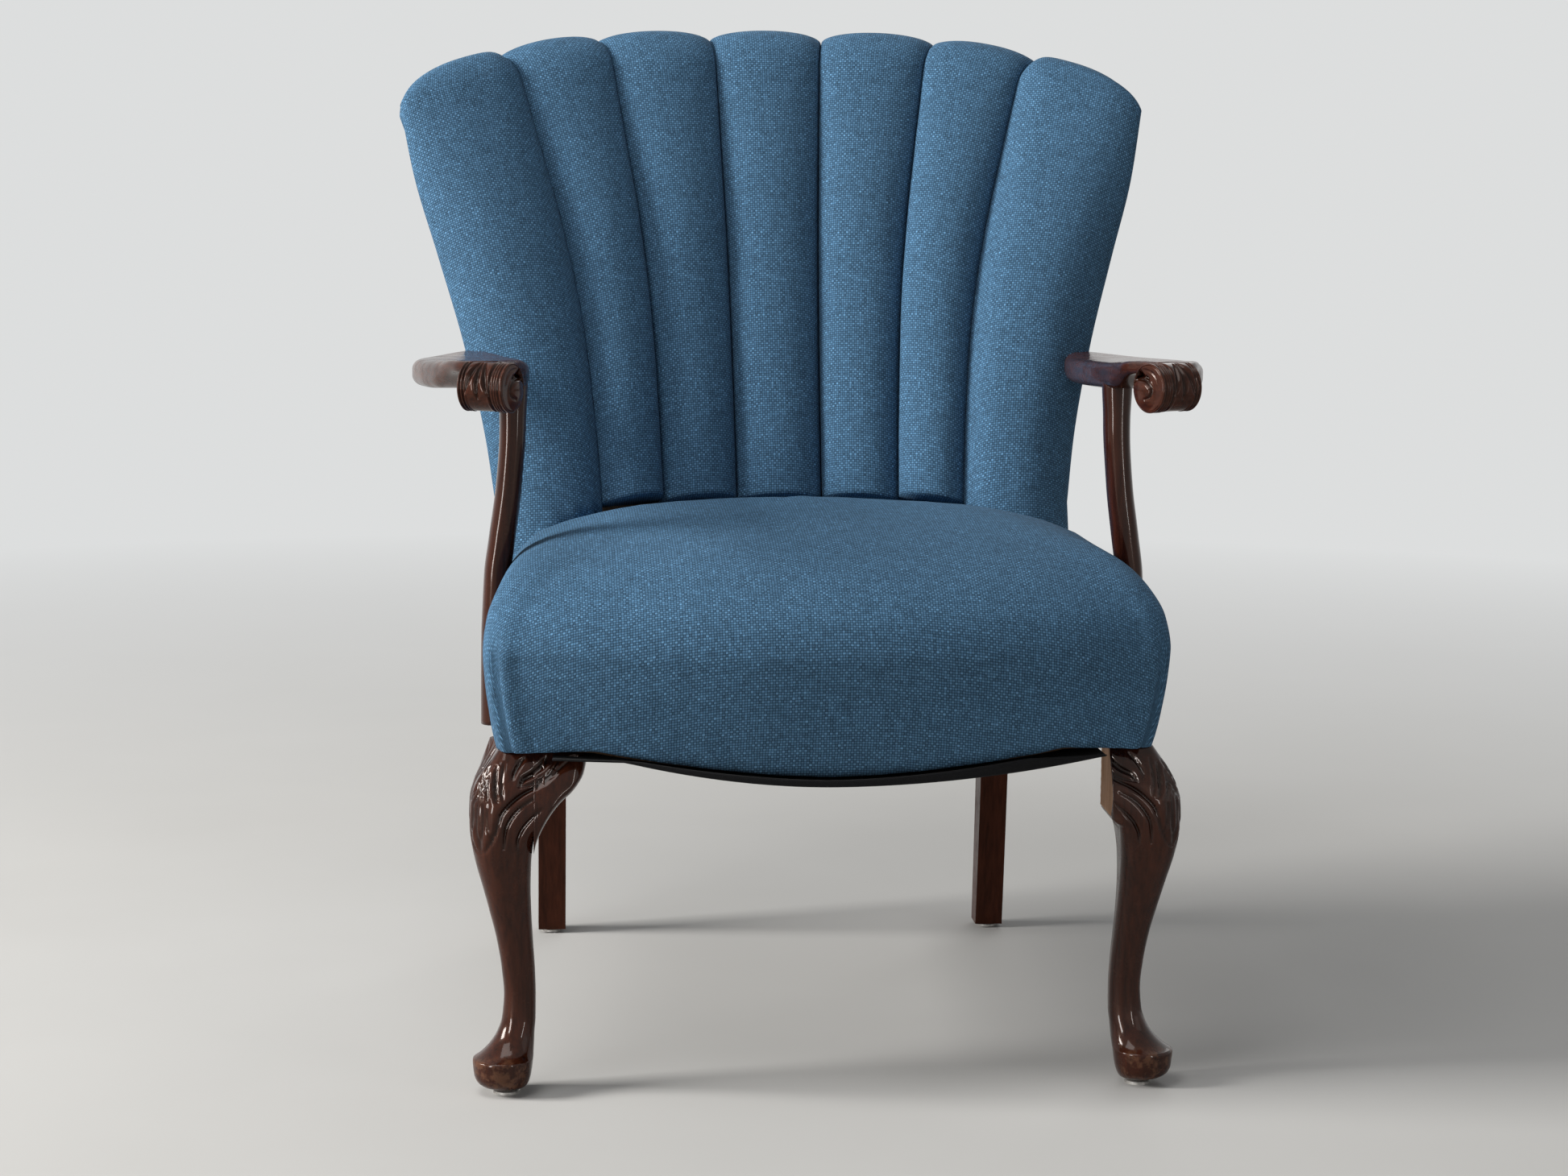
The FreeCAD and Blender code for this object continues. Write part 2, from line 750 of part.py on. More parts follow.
def lower_rail_form(grow=0.0):
    """A sawn curved rail that reaches into the wing posts."""
    top = lower_rail_low + lower_rail_height + grow
    near_depth = lower_rail_depth - grow
    far_depth = lower_rail_depth + rail_thickness + grow
    near = [level_seam(index, lower_rail_low + lower_rail_height, near_depth) for index in flute_edges]
    far = [level_seam(index, lower_rail_low + lower_rail_height, far_depth) for index in flute_edges]
    near = [vec(point.x, point.y, top) for point in near]
    far = [vec(point.x, point.y, top) for point in far]
    reach = wing_post_section(lower_rail_low)[1]
    ends = [vec(reach, near[-1].y, top), vec(reach, far[-1].y, top)]
    starts = [vec(-reach, far[0].y, top), vec(-reach, near[0].y, top)]
    return prism(near + ends + far[::-1] + starts, vec(0, 0, -lower_rail_height - 2 * grow))


def lower_back_rail():
    """The rail cut to end against the wing posts."""
    room = wing_post(wood_fit_gap)
    rail = lower_rail_form().cut(room).cut(mirrored(room))
    return max(rail.Solids, key=lambda solid: solid.Volume)


def wing_post_section(height):
    """Inner, outer, front and rear faces of the leaning wing post at a height."""
    share = (height - rail_top) / (wing_post_top_height - rail_top)
    x = between(wing_post_foot_x, wing_post_top_x, share)
    y = between(wing_post_foot_y, wing_post_top_y, share)
    return (x - wing_post_width * half, x + wing_post_width * half,
            y - wing_post_depth * half, y + wing_post_depth * half)


def wing_post(grow=0.0):
    wires = []
    for height in (rail_top + wood_fit_gap - grow, wing_post_top_height + grow):
        x0, x1, y0, y1 = wing_post_section(height)
        wires.append(polygon([vec(x0 - grow, y0 - grow, height), vec(x1 + grow, y0 - grow, height),
                              vec(x1 + grow, y1 + grow, height), vec(x0 - grow, y1 + grow, height)]))
    return loft(wires, True)


def back_padding():
    """Stuffing between the flutes and the webbing, carried over the crest rail."""
    front_depth = seam_base_depth + 2 * wood_fit_gap
    rear_depth = seam_base_depth + back_padding_depth - wood_fit_gap
    wires = []
    for station in range(station_count):
        near = [seam_point(index, station, front_depth, back_padding_foot)[0] for index in flute_edges]
        far = [seam_point(index, station, rear_depth, back_padding_foot)[0] for index in flute_edges]
        wires.append(polygon(near + far[::-1]))
    return loft(wires, True).cut(crest_rail(wood_fit_gap))


def back_webbing():
    """Three straps from the lower rail up to the crest rail."""
    straps = []
    depth = seam_base_depth + back_padding_depth
    for left, right in ((-2, -1), (-1, 1), (1, 2)):
        wires = []
        for station in range(len(rise_shares) + 2):
            start, start_normal = seam_point(left, station, depth, back_padding_foot)
            end, end_normal = seam_point(right, station, depth, back_padding_foot)
            middle = (start + end) * half
            across = (end - start).normalize() * (webbing_width * half)
            through = (start_normal + end_normal).normalize() * webbing_thickness
            wires.append(polygon([middle - across, middle + across,
                                  middle + across - through, middle - across - through]))
        straps.append(loft(wires, True))
    return Part.makeCompound(straps)


def outside_edge(height):
    """Where the outside back meets the outside wing at a height."""
    share = (height - outside_low) / (outside_high - outside_low)
    return vec(between(outside_low_x, outside_high_x, share), between(outside_low_y, outside_high_y, share),
               height)


def outside_back():
    """The flat-stretched rear panel, curved along its top and straight along its foot."""
    wires = []
    for height, belly in ((outside_low, outside_low_belly), (outside_high, outside_top_belly)):
        edge = outside_edge(height)
        thick = outside_panel_thickness
        left = vec(-edge.x, edge.y, height)
        middle = vec(0, edge.y + belly, height)
        back = vec(0, thick, 0)
        wires.append(closed_wire([
            arc(left, middle, edge),
            line(edge, edge + back),
            arc(edge + back, middle + back, left + back),
            line(left + back, left),
        ]))
    return loft(wires, True)


def outside_wing():
    """A strained panel from the wing's rear edge to the outside back."""
    wires = []
    thick = outside_panel_thickness
    edge_index = len(seams) - 1
    rows = []
    rows.append(vec(seat_rear_half_width, seat_rear_y, outside_low))
    for station in range(len(rise_shares) + 1):
        rows.append(wing_rear_point(station))
    lap = seam_point(edge_index, station_count - 1, 0)[0]
    rows.append(vec(lap.x - thick * 2, lap.y, outside_high))
    for row in rows:
        inner = outside_edge(row.z) + vec(wood_fit_gap * 2, 0, 0)
        way = (inner - row).normalize()
        out = vec(-way.y, way.x, 0) * (-thick)
        start = row + way * wood_fit_gap + vec(wood_fit_gap, wood_fit_gap, 0)
        wires.append(polygon([start, inner, inner + out, start + out]))
    return loft(wires, True)


def wing_rear_point(station):
    blend = crest_blend(station)
    back_way = vec(*wing_back_way_shares, 0)
    return (seam_point(len(seams) - 1, station, wing_edge_depth)[0]
            + back_way * between(wing_side_length, 0, blend))


# arms
# height as a share of the post's visible rise, then the centre's lean as a share of its outward set
arm_post_shares = [
    (0.0, 1.0),
    (0.22, 0.98),
    (0.40, 0.86),
    (0.50, 0.60),
    (0.64, 0.24),
    (0.80, 0.02),
    (1.0, 0.0),
]


def arm_post_form(grow=0.0):
    low = rail_bottom
    high = arm_front_top
    wires = []
    for rise_share, lean_share in arm_post_shares:
        x = between(arm_post_top_x, arm_post_foot_x, lean_share)
        wires.append(rounded_section(
            x - arm_post_width * half - grow, x + arm_post_width * half + grow,
            arm_post_y - arm_post_depth * half - grow, arm_post_y + arm_post_depth * half + grow,
            between(low, high, rise_share), arm_post_corner_share))
    return loft(wires)


def arm_slab(grow=0.0):
    """The paddle of the arm in plan, extruded, rounded and tilted down towards the back."""
    low = arm_front_top - arm_thickness - grow
    a0 = vec(arm_neck_outer_x + grow, arm_front_y, low)
    a1 = vec(arm_bow_outer_x + grow, arm_bow_y, low)
    a2 = vec(arm_end_outer_x + grow, arm_rear_y + grow, low)
    b2 = vec(arm_end_inner_x - grow, arm_rear_y + grow, low)
    b1 = vec(arm_bow_inner_x - grow, arm_bow_y, low)
    b0 = vec(arm_neck_inner_x - grow, arm_front_y, low)
    face = Part.Face(closed_wire([arc(a0, a1, a2), line(a2, b2), arc(b2, b1, b0), line(b0, a0)]))
    slab = face.extrude(vec(0, 0, arm_thickness + 2 * grow))
    if grow == 0:
        rims = [edge for edge in slab.Edges
                if abs(edge.BoundBox.ZLength) < wood_fit_gap and edge.BoundBox.YLength > scroll_length]
        slab = slab.makeFillet(arm_edge_radius, rims)
    slope = math.degrees(math.atan((arm_front_top - arm_rear_top) / (arm_rear_y - arm_front_y)))
    slab.rotate(vec(0, arm_front_y, arm_front_top), vec(1, 0, 0), -slope)
    return slab


def scroll():
    """The rolled hand of the arm, with a raised eye at each end and a groove round it."""
    turn = math.radians(scroll_turn)
    way = vec(math.cos(turn), math.sin(turn), 0)
    centre = vec(scroll_centre_x, 0, arm_front_top - scroll_radius)
    start = centre - way * (scroll_length * half)
    roll = Part.makeCylinder(scroll_radius, scroll_length, start, way)
    rims = [edge for edge in roll.Edges if abs(edge.Length - 2 * math.pi * scroll_radius) < wood_fit_gap]
    roll = roll.makeFillet(scroll_rim_radius, rims)
    eye_length = scroll_length + 2 * scroll_eye_proud
    eye = Part.makeCylinder(scroll_eye_radius, eye_length, start - way * scroll_eye_proud, way)
    groove_radius = scroll_eye_radius + scroll_groove
    for shift in (0.0, scroll_length - scroll_groove):
        ring_start = start + way * shift
        ring = Part.makeCylinder(groove_radius, scroll_groove, ring_start, way)
        ring = ring.cut(Part.makeCylinder(scroll_eye_radius, scroll_groove, ring_start, way))
        roll = roll.cut(ring)
    return roll.fuse(eye)


def arm():
    return arm_slab().fuse(scroll())


# seat insides
def frame_envelope(grow, z0, z1):
    """The plan of the seat frame's outer faces, as one block between two heights."""
    front = post_front_y - grow
    rear = rear_leg_waist_y
    half_front = post_outer_x + grow
    half_rear = side_rail_rear_x + grow
    edges = [
        line(vec(-half_front, front, z0), vec(-post_inner_x, front, z0)),
        arc(vec(-post_inner_x, front, z0), vec(0, front - front_rail_bow, z0), vec(post_inner_x, front, z0)),
        line(vec(post_inner_x, front, z0), vec(half_front, front, z0)),
        line(vec(half_front, front, z0), vec(half_front, post_rear_y, z0)),
        line(vec(half_front, post_rear_y, z0), vec(half_rear, rear, z0)),
        line(vec(half_rear, rear, z0), vec(-half_rear, rear, z0)),
        line(vec(-half_rear, rear, z0), vec(-half_front, post_rear_y, z0)),
        line(vec(-half_front, post_rear_y, z0), vec(-half_front, front, z0)),
    ]
    return Part.Face(closed_wire(edges)).extrude(vec(0, 0, z1 - z0))


def behind_the_back(clear):
    """The space above the seat frame that the back and its posts need."""
    high = seat_crown_height + cutter_reach
    depth = seam_base_depth + clear
    far = rear_leg_waist_y + rear_leg_waist_depth
    low = back_padding_foot - overrun * half
    wing_low = rail_top + wood_fit_gap
    wing_front = wing_post_foot_y - wing_post_depth * half - clear
    wing_inner = wing_post_foot_x - wing_post_width * half - clear
    front = [level_seam(index, low, depth - 2 * clear) for index in flute_edges]
    front = [vec(point.x, point.y, low) for point in front]
    ends = [vec(wing_inner, wing_front, low), vec(wing_inner, far, low)]
    starts = [vec(-wing_inner, far, low), vec(-wing_inner, wing_front, low)]
    core = prism(front + ends + starts, vec(0, 0, high - low))
    side = seat_widest_half_width + cutter_reach
    right = box(wing_inner, side, wing_front, far, wing_low, high)
    return core.fuse(right).fuse(mirrored(right))


def skirt_room():
    """Below the rails, except for the dip at the front that the cover follows."""
    reach = seat_widest_half_width + cutter_reach
    low = rail_bottom - cutter_reach
    block = box(-reach, reach, -reach, seat_rear_y + cutter_reach, low, rail_bottom)
    return block.cut(dip_window(front_rail_dip, -cutter_reach, 0))


def strap(x0, x1, y0, y1, z0):
    return box(x0, x1, y0, y1, z0, z0 + webbing_thickness)


def front_rail_y(x):
    """The rail's outer face at a distance from the middle, from the arc's own radius."""
    chord = front_rail_half
    radius = (chord * chord + front_rail_bow * front_rail_bow) / (2 * front_rail_bow)
    return post_front_y - front_rail_bow + radius - math.sqrt(radius * radius - x * x)


def spring_columns():
    return [-spring_column_spacing, 0.0, spring_column_spacing]


def spring_rows():
    return [spring_first_row_y + spring_row_spacing * row for row in range(spring_row_count)]


def seat_webbing():
    """Straps tacked under the rails, lengthwise ones above the crossing ones."""
    upper = rail_bottom - webbing_thickness
    lower = upper - webbing_thickness
    rear = rear_leg_waist_y + rear_leg_waist_depth - strap_end_margin
    pieces = []
    for column in spring_columns():
        front = front_rail_y(abs(column) + webbing_width * half) + front_rail_rebate + wood_fit_gap
        pieces.append(strap(column - webbing_width * half, column + webbing_width * half, front, rear, upper))
    for row in spring_rows():
        reach = between(side_rail_front_x, side_rail_rear_x, row / rear_leg_waist_y) - strap_end_margin
        pieces.append(strap(-reach, reach, row - webbing_width * half, row + webbing_width * half, lower))
    return Part.makeCompound(pieces)


def spring(x, y):
    """An hourglass coil: quarter turns of wire, wide at the ends and narrow at the waist."""
    low = rail_bottom + spring_wire_radius + wood_fit_gap
    high = seat_deck_height - burlap_thickness - spring_wire_radius - wood_fit_gap
    steps = spring_turns * spring_steps_per_turn
    points = []
    for step in range(steps + 1):
        share = step / steps
        swing = abs(2 * share - 1)
        radius = between(spring_waist_radius, spring_end_radius, swing * swing)
        angle = 2 * math.pi * spring_turns * share
        points.append(vec(x + radius * math.cos(angle), y + radius * math.sin(angle), between(low, high, share)))
    arcs = [arc(points[step], points[step + 1], points[step + 2]) for step in range(0, steps, 2)]
    spine = Part.Wire(arcs)
    start_way = arcs[0].tangentAt(arcs[0].FirstParameter)
    ring = Part.Wire([Part.makeCircle(spring_wire_radius, points[0], start_way)])
    return spine.makePipeShell([ring], True, False)


def dust_cover():
    """Thin black cloth under the seat, hanging a little below the dipped rail."""
    thick = vec(0, 0, dust_cover_thickness)
    high = rail_bottom - 2 * webbing_thickness - dust_cover_thickness - 2 * wood_fit_gap
    front_y = front_rail_y(0)
    rear_y = rear_leg_waist_y + rear_leg_waist_depth - overrun
    wires = []
    for y, reach, sag in ((front_y, dust_cover_half_width, front_rail_dip + dust_cover_sag),
                          (rear_y, dust_cover_half_width, dust_cover_rear_sag)):
        left = vec(-reach, y, high)
        right = vec(reach, y, high)
        middle = vec(0, y, rail_bottom - sag - dust_cover_thickness)
        wires.append(closed_wire([
            arc(left, middle, right),
            line(right, right + thick),
            arc(right + thick, middle + thick, left + thick),
            line(left + thick, left),
        ]))
    low = rail_bottom - cutter_reach
    cloth = loft(wires, True).common(frame_envelope(-overrun, low, rail_bottom))
    corner_x = post_inner_x - knee_block_reach - overrun
    corner_y = post_rear_y + knee_block_reach + overrun
    corner = box(corner_x, corner_x + cutter_reach, -cutter_reach, corner_y, low, rail_bottom)
    foot_x = rear_leg_outer_x - rear_leg_width - overrun
    foot = box(foot_x, foot_x + cutter_reach, rear_leg_waist_y - overrun, rear_y + overrun, low, rail_bottom)
    for notch in (corner, foot):
        cloth = cloth.cut(notch).cut(mirrored(notch))
    return cloth


def post_screws(grow=0.0):
    """Two screws from inside each side rail into the foot of the arm post."""
    start_x = side_rail_x(arm_post_y) - rail_thickness
    heights = [rail_bottom + rail_height * screw_low_share, rail_top - rail_height * screw_low_share]
    return [screw(vec(start_x, arm_post_y, height), vec(1, 0, 0), post_screw_length, grow)
            for height in heights]


def arm_screw(grow=0.0):
    """One screw from behind the wing post into the end of the arm."""
    height = arm_rear_top - arm_thickness * half
    x0, x1, y0, y1 = wing_post_section(height)
    x = (x1 + arm_end_inner_x) * half
    return screw(vec(x, y1 + screw_head_height * half, height), vec(0, -1, 0), screw_length, grow)


def rear_glide_y():
    return rear_foot_y + rear_leg_foot_depth * half


def build():
    """Make every piece, cutting each soft piece clear of the wood that it meets."""
    leg = front_leg()
    both_sides("front_leg", leg)
    inner_block = knee_block(True)
    save("knee_block_front_left", mirrored(inner_block))
    side_block = knee_block(False)
    both_sides("knee_block_side", side_block)
    save("front_glides", Part.makeCompound([glide(front_glide_x, 0, glide_radius),
                                            glide(-front_glide_x, 0, glide_radius)]))
    rear_x = rear_leg_outer_x - rear_leg_width * half
    save("rear_glides", Part.makeCompound([glide(rear_x, rear_glide_y(), rear_glide_radius),
                                           glide(-rear_x, rear_glide_y(), rear_glide_radius)]))
    holes = corner_screws(screw_hole_gap)
    all_holes = Part.makeCompound(holes + [mirrored(hole) for hole in holes])
    foot_holes = post_screws(screw_hole_gap)
    save("front_rail", front_rail().cut(all_holes))
    rail = side_rail().cut(Part.makeCompound(holes + foot_holes))
    both_sides("side_rail", rail)
    save("back_rail", back_rail().cut(all_holes))
    blocks = [corner_block(front_block_outline()), corner_block(rear_block_outline())]
    blocks = [block.cut(Part.makeCompound(holes)) for block in blocks]
    save("corner_blocks", Part.makeCompound(blocks + [mirrored(block) for block in blocks]))
    screws = corner_screws()
    save("corner_block_screws", Part.makeCompound(screws + [mirrored(each) for each in screws]))
    both_sides("rear_leg", rear_leg())

    save("crest_rail", crest_rail())
    save("lower_back_rail", lower_back_rail())
    arm_hole = arm_screw(screw_hole_gap)
    both_sides("wing_post", wing_post().cut(arm_hole))

    both_sides("arm", arm().cut(arm_hole))
    upright = arm_post_form().cut(arm_slab())
    upright = max(upright.Solids, key=lambda solid: solid.Volume)
    both_sides("arm_post", upright.cut(Part.makeCompound(foot_holes)))
    save("arm_screws", Part.makeCompound([arm_screw(), mirrored(arm_screw())]))
    feet = post_screws()
    save("arm_post_screws", Part.makeCompound(feet + [mirrored(each) for each in feet]))

    save("seat_webbing", seat_webbing())
    springs = [spring(column, row) for column in spring_columns() for row in spring_rows()]
    save("seat_springs", Part.makeCompound(springs))
    back_room = behind_the_back(seat_fit_gap)
    burlap = frame_envelope(-strap_end_margin * half, seat_deck_height - burlap_thickness, seat_deck_height)
    save("seat_burlap", burlap.cut(back_room))
    save("dust_cover", dust_cover())

    upright_room = arm_post_form(seat_fit_gap)
    upright_room = upright_room.fuse(mirrored(upright_room))
    frame_room = frame_envelope(wood_fit_gap, rail_bottom - cutter_reach, seat_deck_height)
    room = frame_room.fuse(skirt_room())
    pad = seat_form(seat_cover_thickness + wood_fit_gap).cut(room).cut(back_room).cut(upright_room)
    save("seat_padding", pad)
    cover = seat_form(0).cut(seat_form(seat_cover_thickness))
    cover = cover.cut(room).cut(back_room).cut(upright_room)
    save("seat_cover", cover)

    seat_room = seat_form(-seat_fit_gap)
    save("flute_centre", flute(-1, 1).cut(seat_room))
    both_sides("flute_inner", flute(1, 2).cut(seat_room))
    both_sides("flute_outer", flute(2, 3).cut(seat_room))
    wing = wing_flute().cut(seat_room.cut(behind_the_back(0)))
    wing = wing.cut(wing_post(wood_fit_gap)).cut(arm_slab(seat_fit_gap)).cut(lower_rail_form(wood_fit_gap))
    wing = wing.cut(arm_screw(wood_fit_gap)).cut(crest_rail(wood_fit_gap))
    both_sides("flute_wing", wing)
    save("back_padding", back_padding())
    save("back_webbing", back_webbing())
    save("outside_back", outside_back())
    panel = outside_wing().cut(seat_room).cut(wing_post(wood_fit_gap))
    both_sides("outside_wing", max(panel.Solids, key=lambda solid: solid.Volume))


os.makedirs("parts", exist_ok=True)
build()
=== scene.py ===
import math

import bmesh
import bpy
import numpy as np
from mathutils import Matrix, Vector


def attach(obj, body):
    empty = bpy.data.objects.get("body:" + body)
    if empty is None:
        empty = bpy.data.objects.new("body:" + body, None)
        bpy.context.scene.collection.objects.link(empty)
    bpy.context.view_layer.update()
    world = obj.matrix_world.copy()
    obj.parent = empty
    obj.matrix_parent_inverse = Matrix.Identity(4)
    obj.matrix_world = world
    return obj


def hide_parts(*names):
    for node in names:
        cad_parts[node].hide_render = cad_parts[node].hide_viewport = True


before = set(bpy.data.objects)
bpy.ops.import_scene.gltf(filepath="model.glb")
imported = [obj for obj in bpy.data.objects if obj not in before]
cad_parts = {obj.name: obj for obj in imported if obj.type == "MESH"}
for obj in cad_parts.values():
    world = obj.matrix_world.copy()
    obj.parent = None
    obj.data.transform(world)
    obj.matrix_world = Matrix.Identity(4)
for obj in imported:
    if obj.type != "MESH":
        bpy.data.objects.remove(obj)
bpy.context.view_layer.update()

# Lengths are in millimetres from the floor and from the line through the two front glides, as in
# the part's source. Only the camera, the stage and the materials are in the frame's metres.
MM = 0.001
ORIGIN_SETBACK = 332.7
SIDES = {"right": 1, "left": -1}


def placed(points):
    return (np.asarray(points, float) - (0, ORIGIN_SETBACK, 0)) * MM


def linked(name, data):
    made = bpy.data.objects.new(name, data)
    bpy.context.scene.collection.objects.link(made)
    return made


# camera
CAMERA_PLACE, CAMERA_WAY = (-0.2792, -3.102, 0.822), (0.0862, 0.9857, -0.1449)
CAMERA_YAW, CAMERA_ROLL = 5, 0.49
SENSOR_WIDTH, FOCAL_PIXELS, PHOTO_PIXELS = 36, 4330, 1946


def make_camera():
    yaw, roll = math.radians(CAMERA_YAW), math.radians(CAMERA_ROLL)
    forward = Vector(CAMERA_WAY).normalized()
    level = Vector((math.cos(yaw), -math.sin(yaw), 0))
    above = level.cross(forward)
    right = level * math.cos(roll) + above * math.sin(roll)
    up = above * math.cos(roll) - level * math.sin(roll)
    camera = linked("camera", bpy.data.cameras.new("camera"))
    turn = Matrix((right, up, -forward)).transposed().to_4x4()
    turn.translation = CAMERA_PLACE
    camera.matrix_world = turn
    camera.data.sensor_width = SENSOR_WIDTH
    camera.data.lens = SENSOR_WIDTH * FOCAL_PIXELS / PHOTO_PIXELS
    camera.data.clip_start = 0.05
    bpy.context.scene.camera = camera


make_camera()


class Graph:
    """Adds nodes to an emptied tree. Most methods give the new node's output."""

    def __init__(self, tree):
        self.tree = tree
        tree.nodes.clear()

    def put(self, socket, value):
        if isinstance(value, bpy.types.NodeSocket):
            self.tree.links.new(value, socket)
        elif socket.type == "RGBA":
            socket.default_value = (*value, 1)
        else:
            socket.default_value = value

    def fill(self, node, inputs):
        for place, value in dict(inputs).items():
            self.put(node.inputs[place], value)

    def node(self, kind, inputs=(), **settings):
        made = self.tree.nodes.new("ShaderNode" + kind)
        for key, value in settings.items():
            setattr(made, key, value)
        self.fill(made, inputs)
        return made

    def calc(self, operation, *values, clamp=False):
        inputs = dict(enumerate(values))
        return self.node("Math", inputs, operation=operation, use_clamp=clamp).outputs[0]

    def times(self, value, factor, plus=None):
        if plus is None:
            return self.calc("MULTIPLY", value, factor)
        return self.calc("MULTIPLY_ADD", value, factor, plus)

    def vector(self, operation, *values):
        return self.node("VectorMath", dict(enumerate(values)), operation=operation).outputs[0]

    def shaded(self, colour, light):
        return self.node("VectorMath", {0: colour, 3: light}, operation="SCALE").outputs[0]

    def mix(self, share, low, high):
        return self.node("Mix", {0: share, 2: low, 3: high}, data_type="FLOAT").outputs[0]

    def mix_colour(self, share, low, high):
        return self.node("Mix", {0: share, 6: low, 7: high}, data_type="RGBA").outputs[2]

    def ramp(self, value, low, high):
        return self.node("MapRange", {0: value, 1: low, 2: high, 3: 0, 4: 1}).outputs[0]

    def noise(self, vector, scale, detail=2, roughness=0.5, output="Fac"):
        inputs = {"Vector": vector, "Scale": scale, "Detail": detail, "Roughness": roughness}
        return self.node("TexNoise", inputs).outputs[output]

    def bump(self, strength, distance, height):
        inputs = {"Strength": strength, "Distance": distance, "Height": height}
        return self.node("Bump", inputs).outputs[0]


def new_material(name):
    material = bpy.data.materials.new(name)
    material.use_nodes = True
    graph = Graph(material.node_tree)
    shader = graph.node("BsdfPrincipled")
    graph.node("OutputMaterial", {"Surface": shader.outputs[0]})
    return material, graph, shader


YARN_WANDER, YARN_SPREAD, YARN_STRETCH = 0.55, 5.13, 0.16


def woven_material(name, warp, weft, pitch, relief, sheen, slub=0.4, turned=None):
    """A plain weave of slubby yarns over the UVs, or over the turned object where turned is given, with
    painted shade in the gaps between the yarns.
    """
    material, graph, shader = new_material(name)
    calc, times = graph.calc, graph.times
    place = graph.node("TexCoord")
    uv = place.outputs["UV"]
    if turned is not None:
        uv = graph.node("Mapping", {0: place.outputs["Object"], 2: turned}).outputs[0]
    wander = graph.vector("SUBTRACT", graph.noise(uv, 70, 1, output="Color"), (0.5, 0.5, 0.5))
    wander = graph.vector("MULTIPLY", wander, (YARN_WANDER, YARN_WANDER, 0))
    threads = graph.vector("MULTIPLY", uv, (1 / pitch, 1 / pitch, 0))
    runs = graph.node("SeparateXYZ", {0: graph.vector("ADD", threads, wander)}).outputs[:2]
    index = [calc("FLOOR", run) for run in runs]
    hump = [calc("SINE", times(calc("FRACT", run), math.pi)) for run in runs]
    over = calc("FLOORED_MODULO", calc("ADD", *index), 2)
    high = [times(hump[i], times(hump[1 - i], 0.5, 0.5)) for i in (0, 1)]
    height = graph.mix(over, high[1], high[0])
    cell = graph.node("CombineXYZ", dict(enumerate(index)))
    speckle = graph.node("TexWhiteNoise", {"Vector": cell.outputs[0]}, noise_dimensions="2D").outputs[0]
    tones = []
    for i in (0, 1):
        inputs = {i: times(index[i], YARN_SPREAD), 1 - i: times(runs[1 - i], YARN_STRETCH)}
        tones.append(graph.noise(graph.node("CombineXYZ", inputs).outputs[0], 1))
    light = times(graph.mix(over, tones[1], tones[0]), slub * 2, 1 - slub)
    light = times(light, times(speckle, 0.42, 0.79))
    # painted shade: the colour is darkened in the gaps between the yarns, where the weave's height is low
    light = times(light, times(height, 1.15, 0.26))
    light = times(light, times(graph.noise(uv, 14, 3), 0.14, 0.93))
    fleck = calc("GREATER_THAN", speckle, 0.965)
    light = times(fleck, 0.22, light)
    surface = times(graph.noise(uv, 3200, 1), 0.06, height)
    graph.fill(shader, {
        "Base Color": graph.shaded(graph.mix_colour(over, weft, warp), light),
        "Roughness": times(speckle, 0.1, 0.8), "Normal": graph.bump(0.9, relief, surface),
        "Sheen Weight": sheen, "Sheen Roughness": 0.5, "Specular IOR Level": 0.08,
    })
    return material


# marks on the meshes: painted shade in the carving, and real wear of the varnish
MARKS = ("carving_shade", "wear")
WORN_WOOD, WARM_SHINE = (0.15, 0.066, 0.034), (1, 0.6, 0.42)


def wood_material(name, dark, light, grain, coat=0.36, gloss=0.2):
    """Varnished wood with its grain along one axis, worn where the wear mark says, and darkened with
    painted shade in its carving.
    """
    material, graph, shader = new_material(name)
    times = graph.times
    place = graph.node("TexCoord").outputs["Object"]
    fibre = graph.noise(graph.vector("MULTIPLY", place, grain), 1, 5, 0.6)
    figure = graph.noise(graph.vector("MULTIPLY", place, [g * 0.16 for g in grain]), 1, 3)
    tone = times(fibre, 0.55, times(figure, 0.45))
    colour = graph.mix_colour(graph.ramp(tone, 0.36, 0.64), dark, light)
    carving_shade, wear = (graph.node("Attribute", attribute_name=mark).outputs["Fac"] for mark in MARKS)
    patchy = graph.ramp(graph.noise(place, 95, 5, 0.7), 0.47, 0.58)
    rubbed = graph.calc("MULTIPLY", wear, patchy, clamp=True)
    colour = graph.mix_colour(rubbed, colour, WORN_WOOD)
    rough = times(graph.ramp(graph.noise(place, 42, 5, 0.7), 0.45, 0.75), 0.22, gloss)
    scratch = graph.noise(graph.vector("MULTIPLY", place, (900, 90, 400)), 1)
    relief = times(fibre, 0.7, times(scratch, 0.3))
    graph.fill(shader, {
        # painted shade: the colour is darkened down to 0.28 in the carved grooves
        "Base Color": graph.shaded(colour, times(carving_shade, -0.72, 1)),
        "Roughness": times(rubbed, 0.25, rough), "Normal": graph.bump(0.28, 0.0003, relief),
        "Coat Weight": coat, "Coat Roughness": 0.07, "Specular IOR Level": 0.1,
        "Specular Tint": WARM_SHINE,
    })
    return material


def metal_material(name, colour, rough):
    material, graph, shader = new_material(name)
    spots = graph.noise(graph.node("TexCoord").outputs["Object"], 260, 4, 0.6)
    dull = [c * 0.45 for c in colour]
    graph.fill(shader, {
        "Base Color": graph.mix_colour(graph.ramp(spots, 0.4, 0.7), colour, dull),
        "Roughness": graph.times(spots, 0.3, rough), "Normal": graph.bump(0.2, 0.0003, spots),
        "Metallic": 1,
    })
    return material


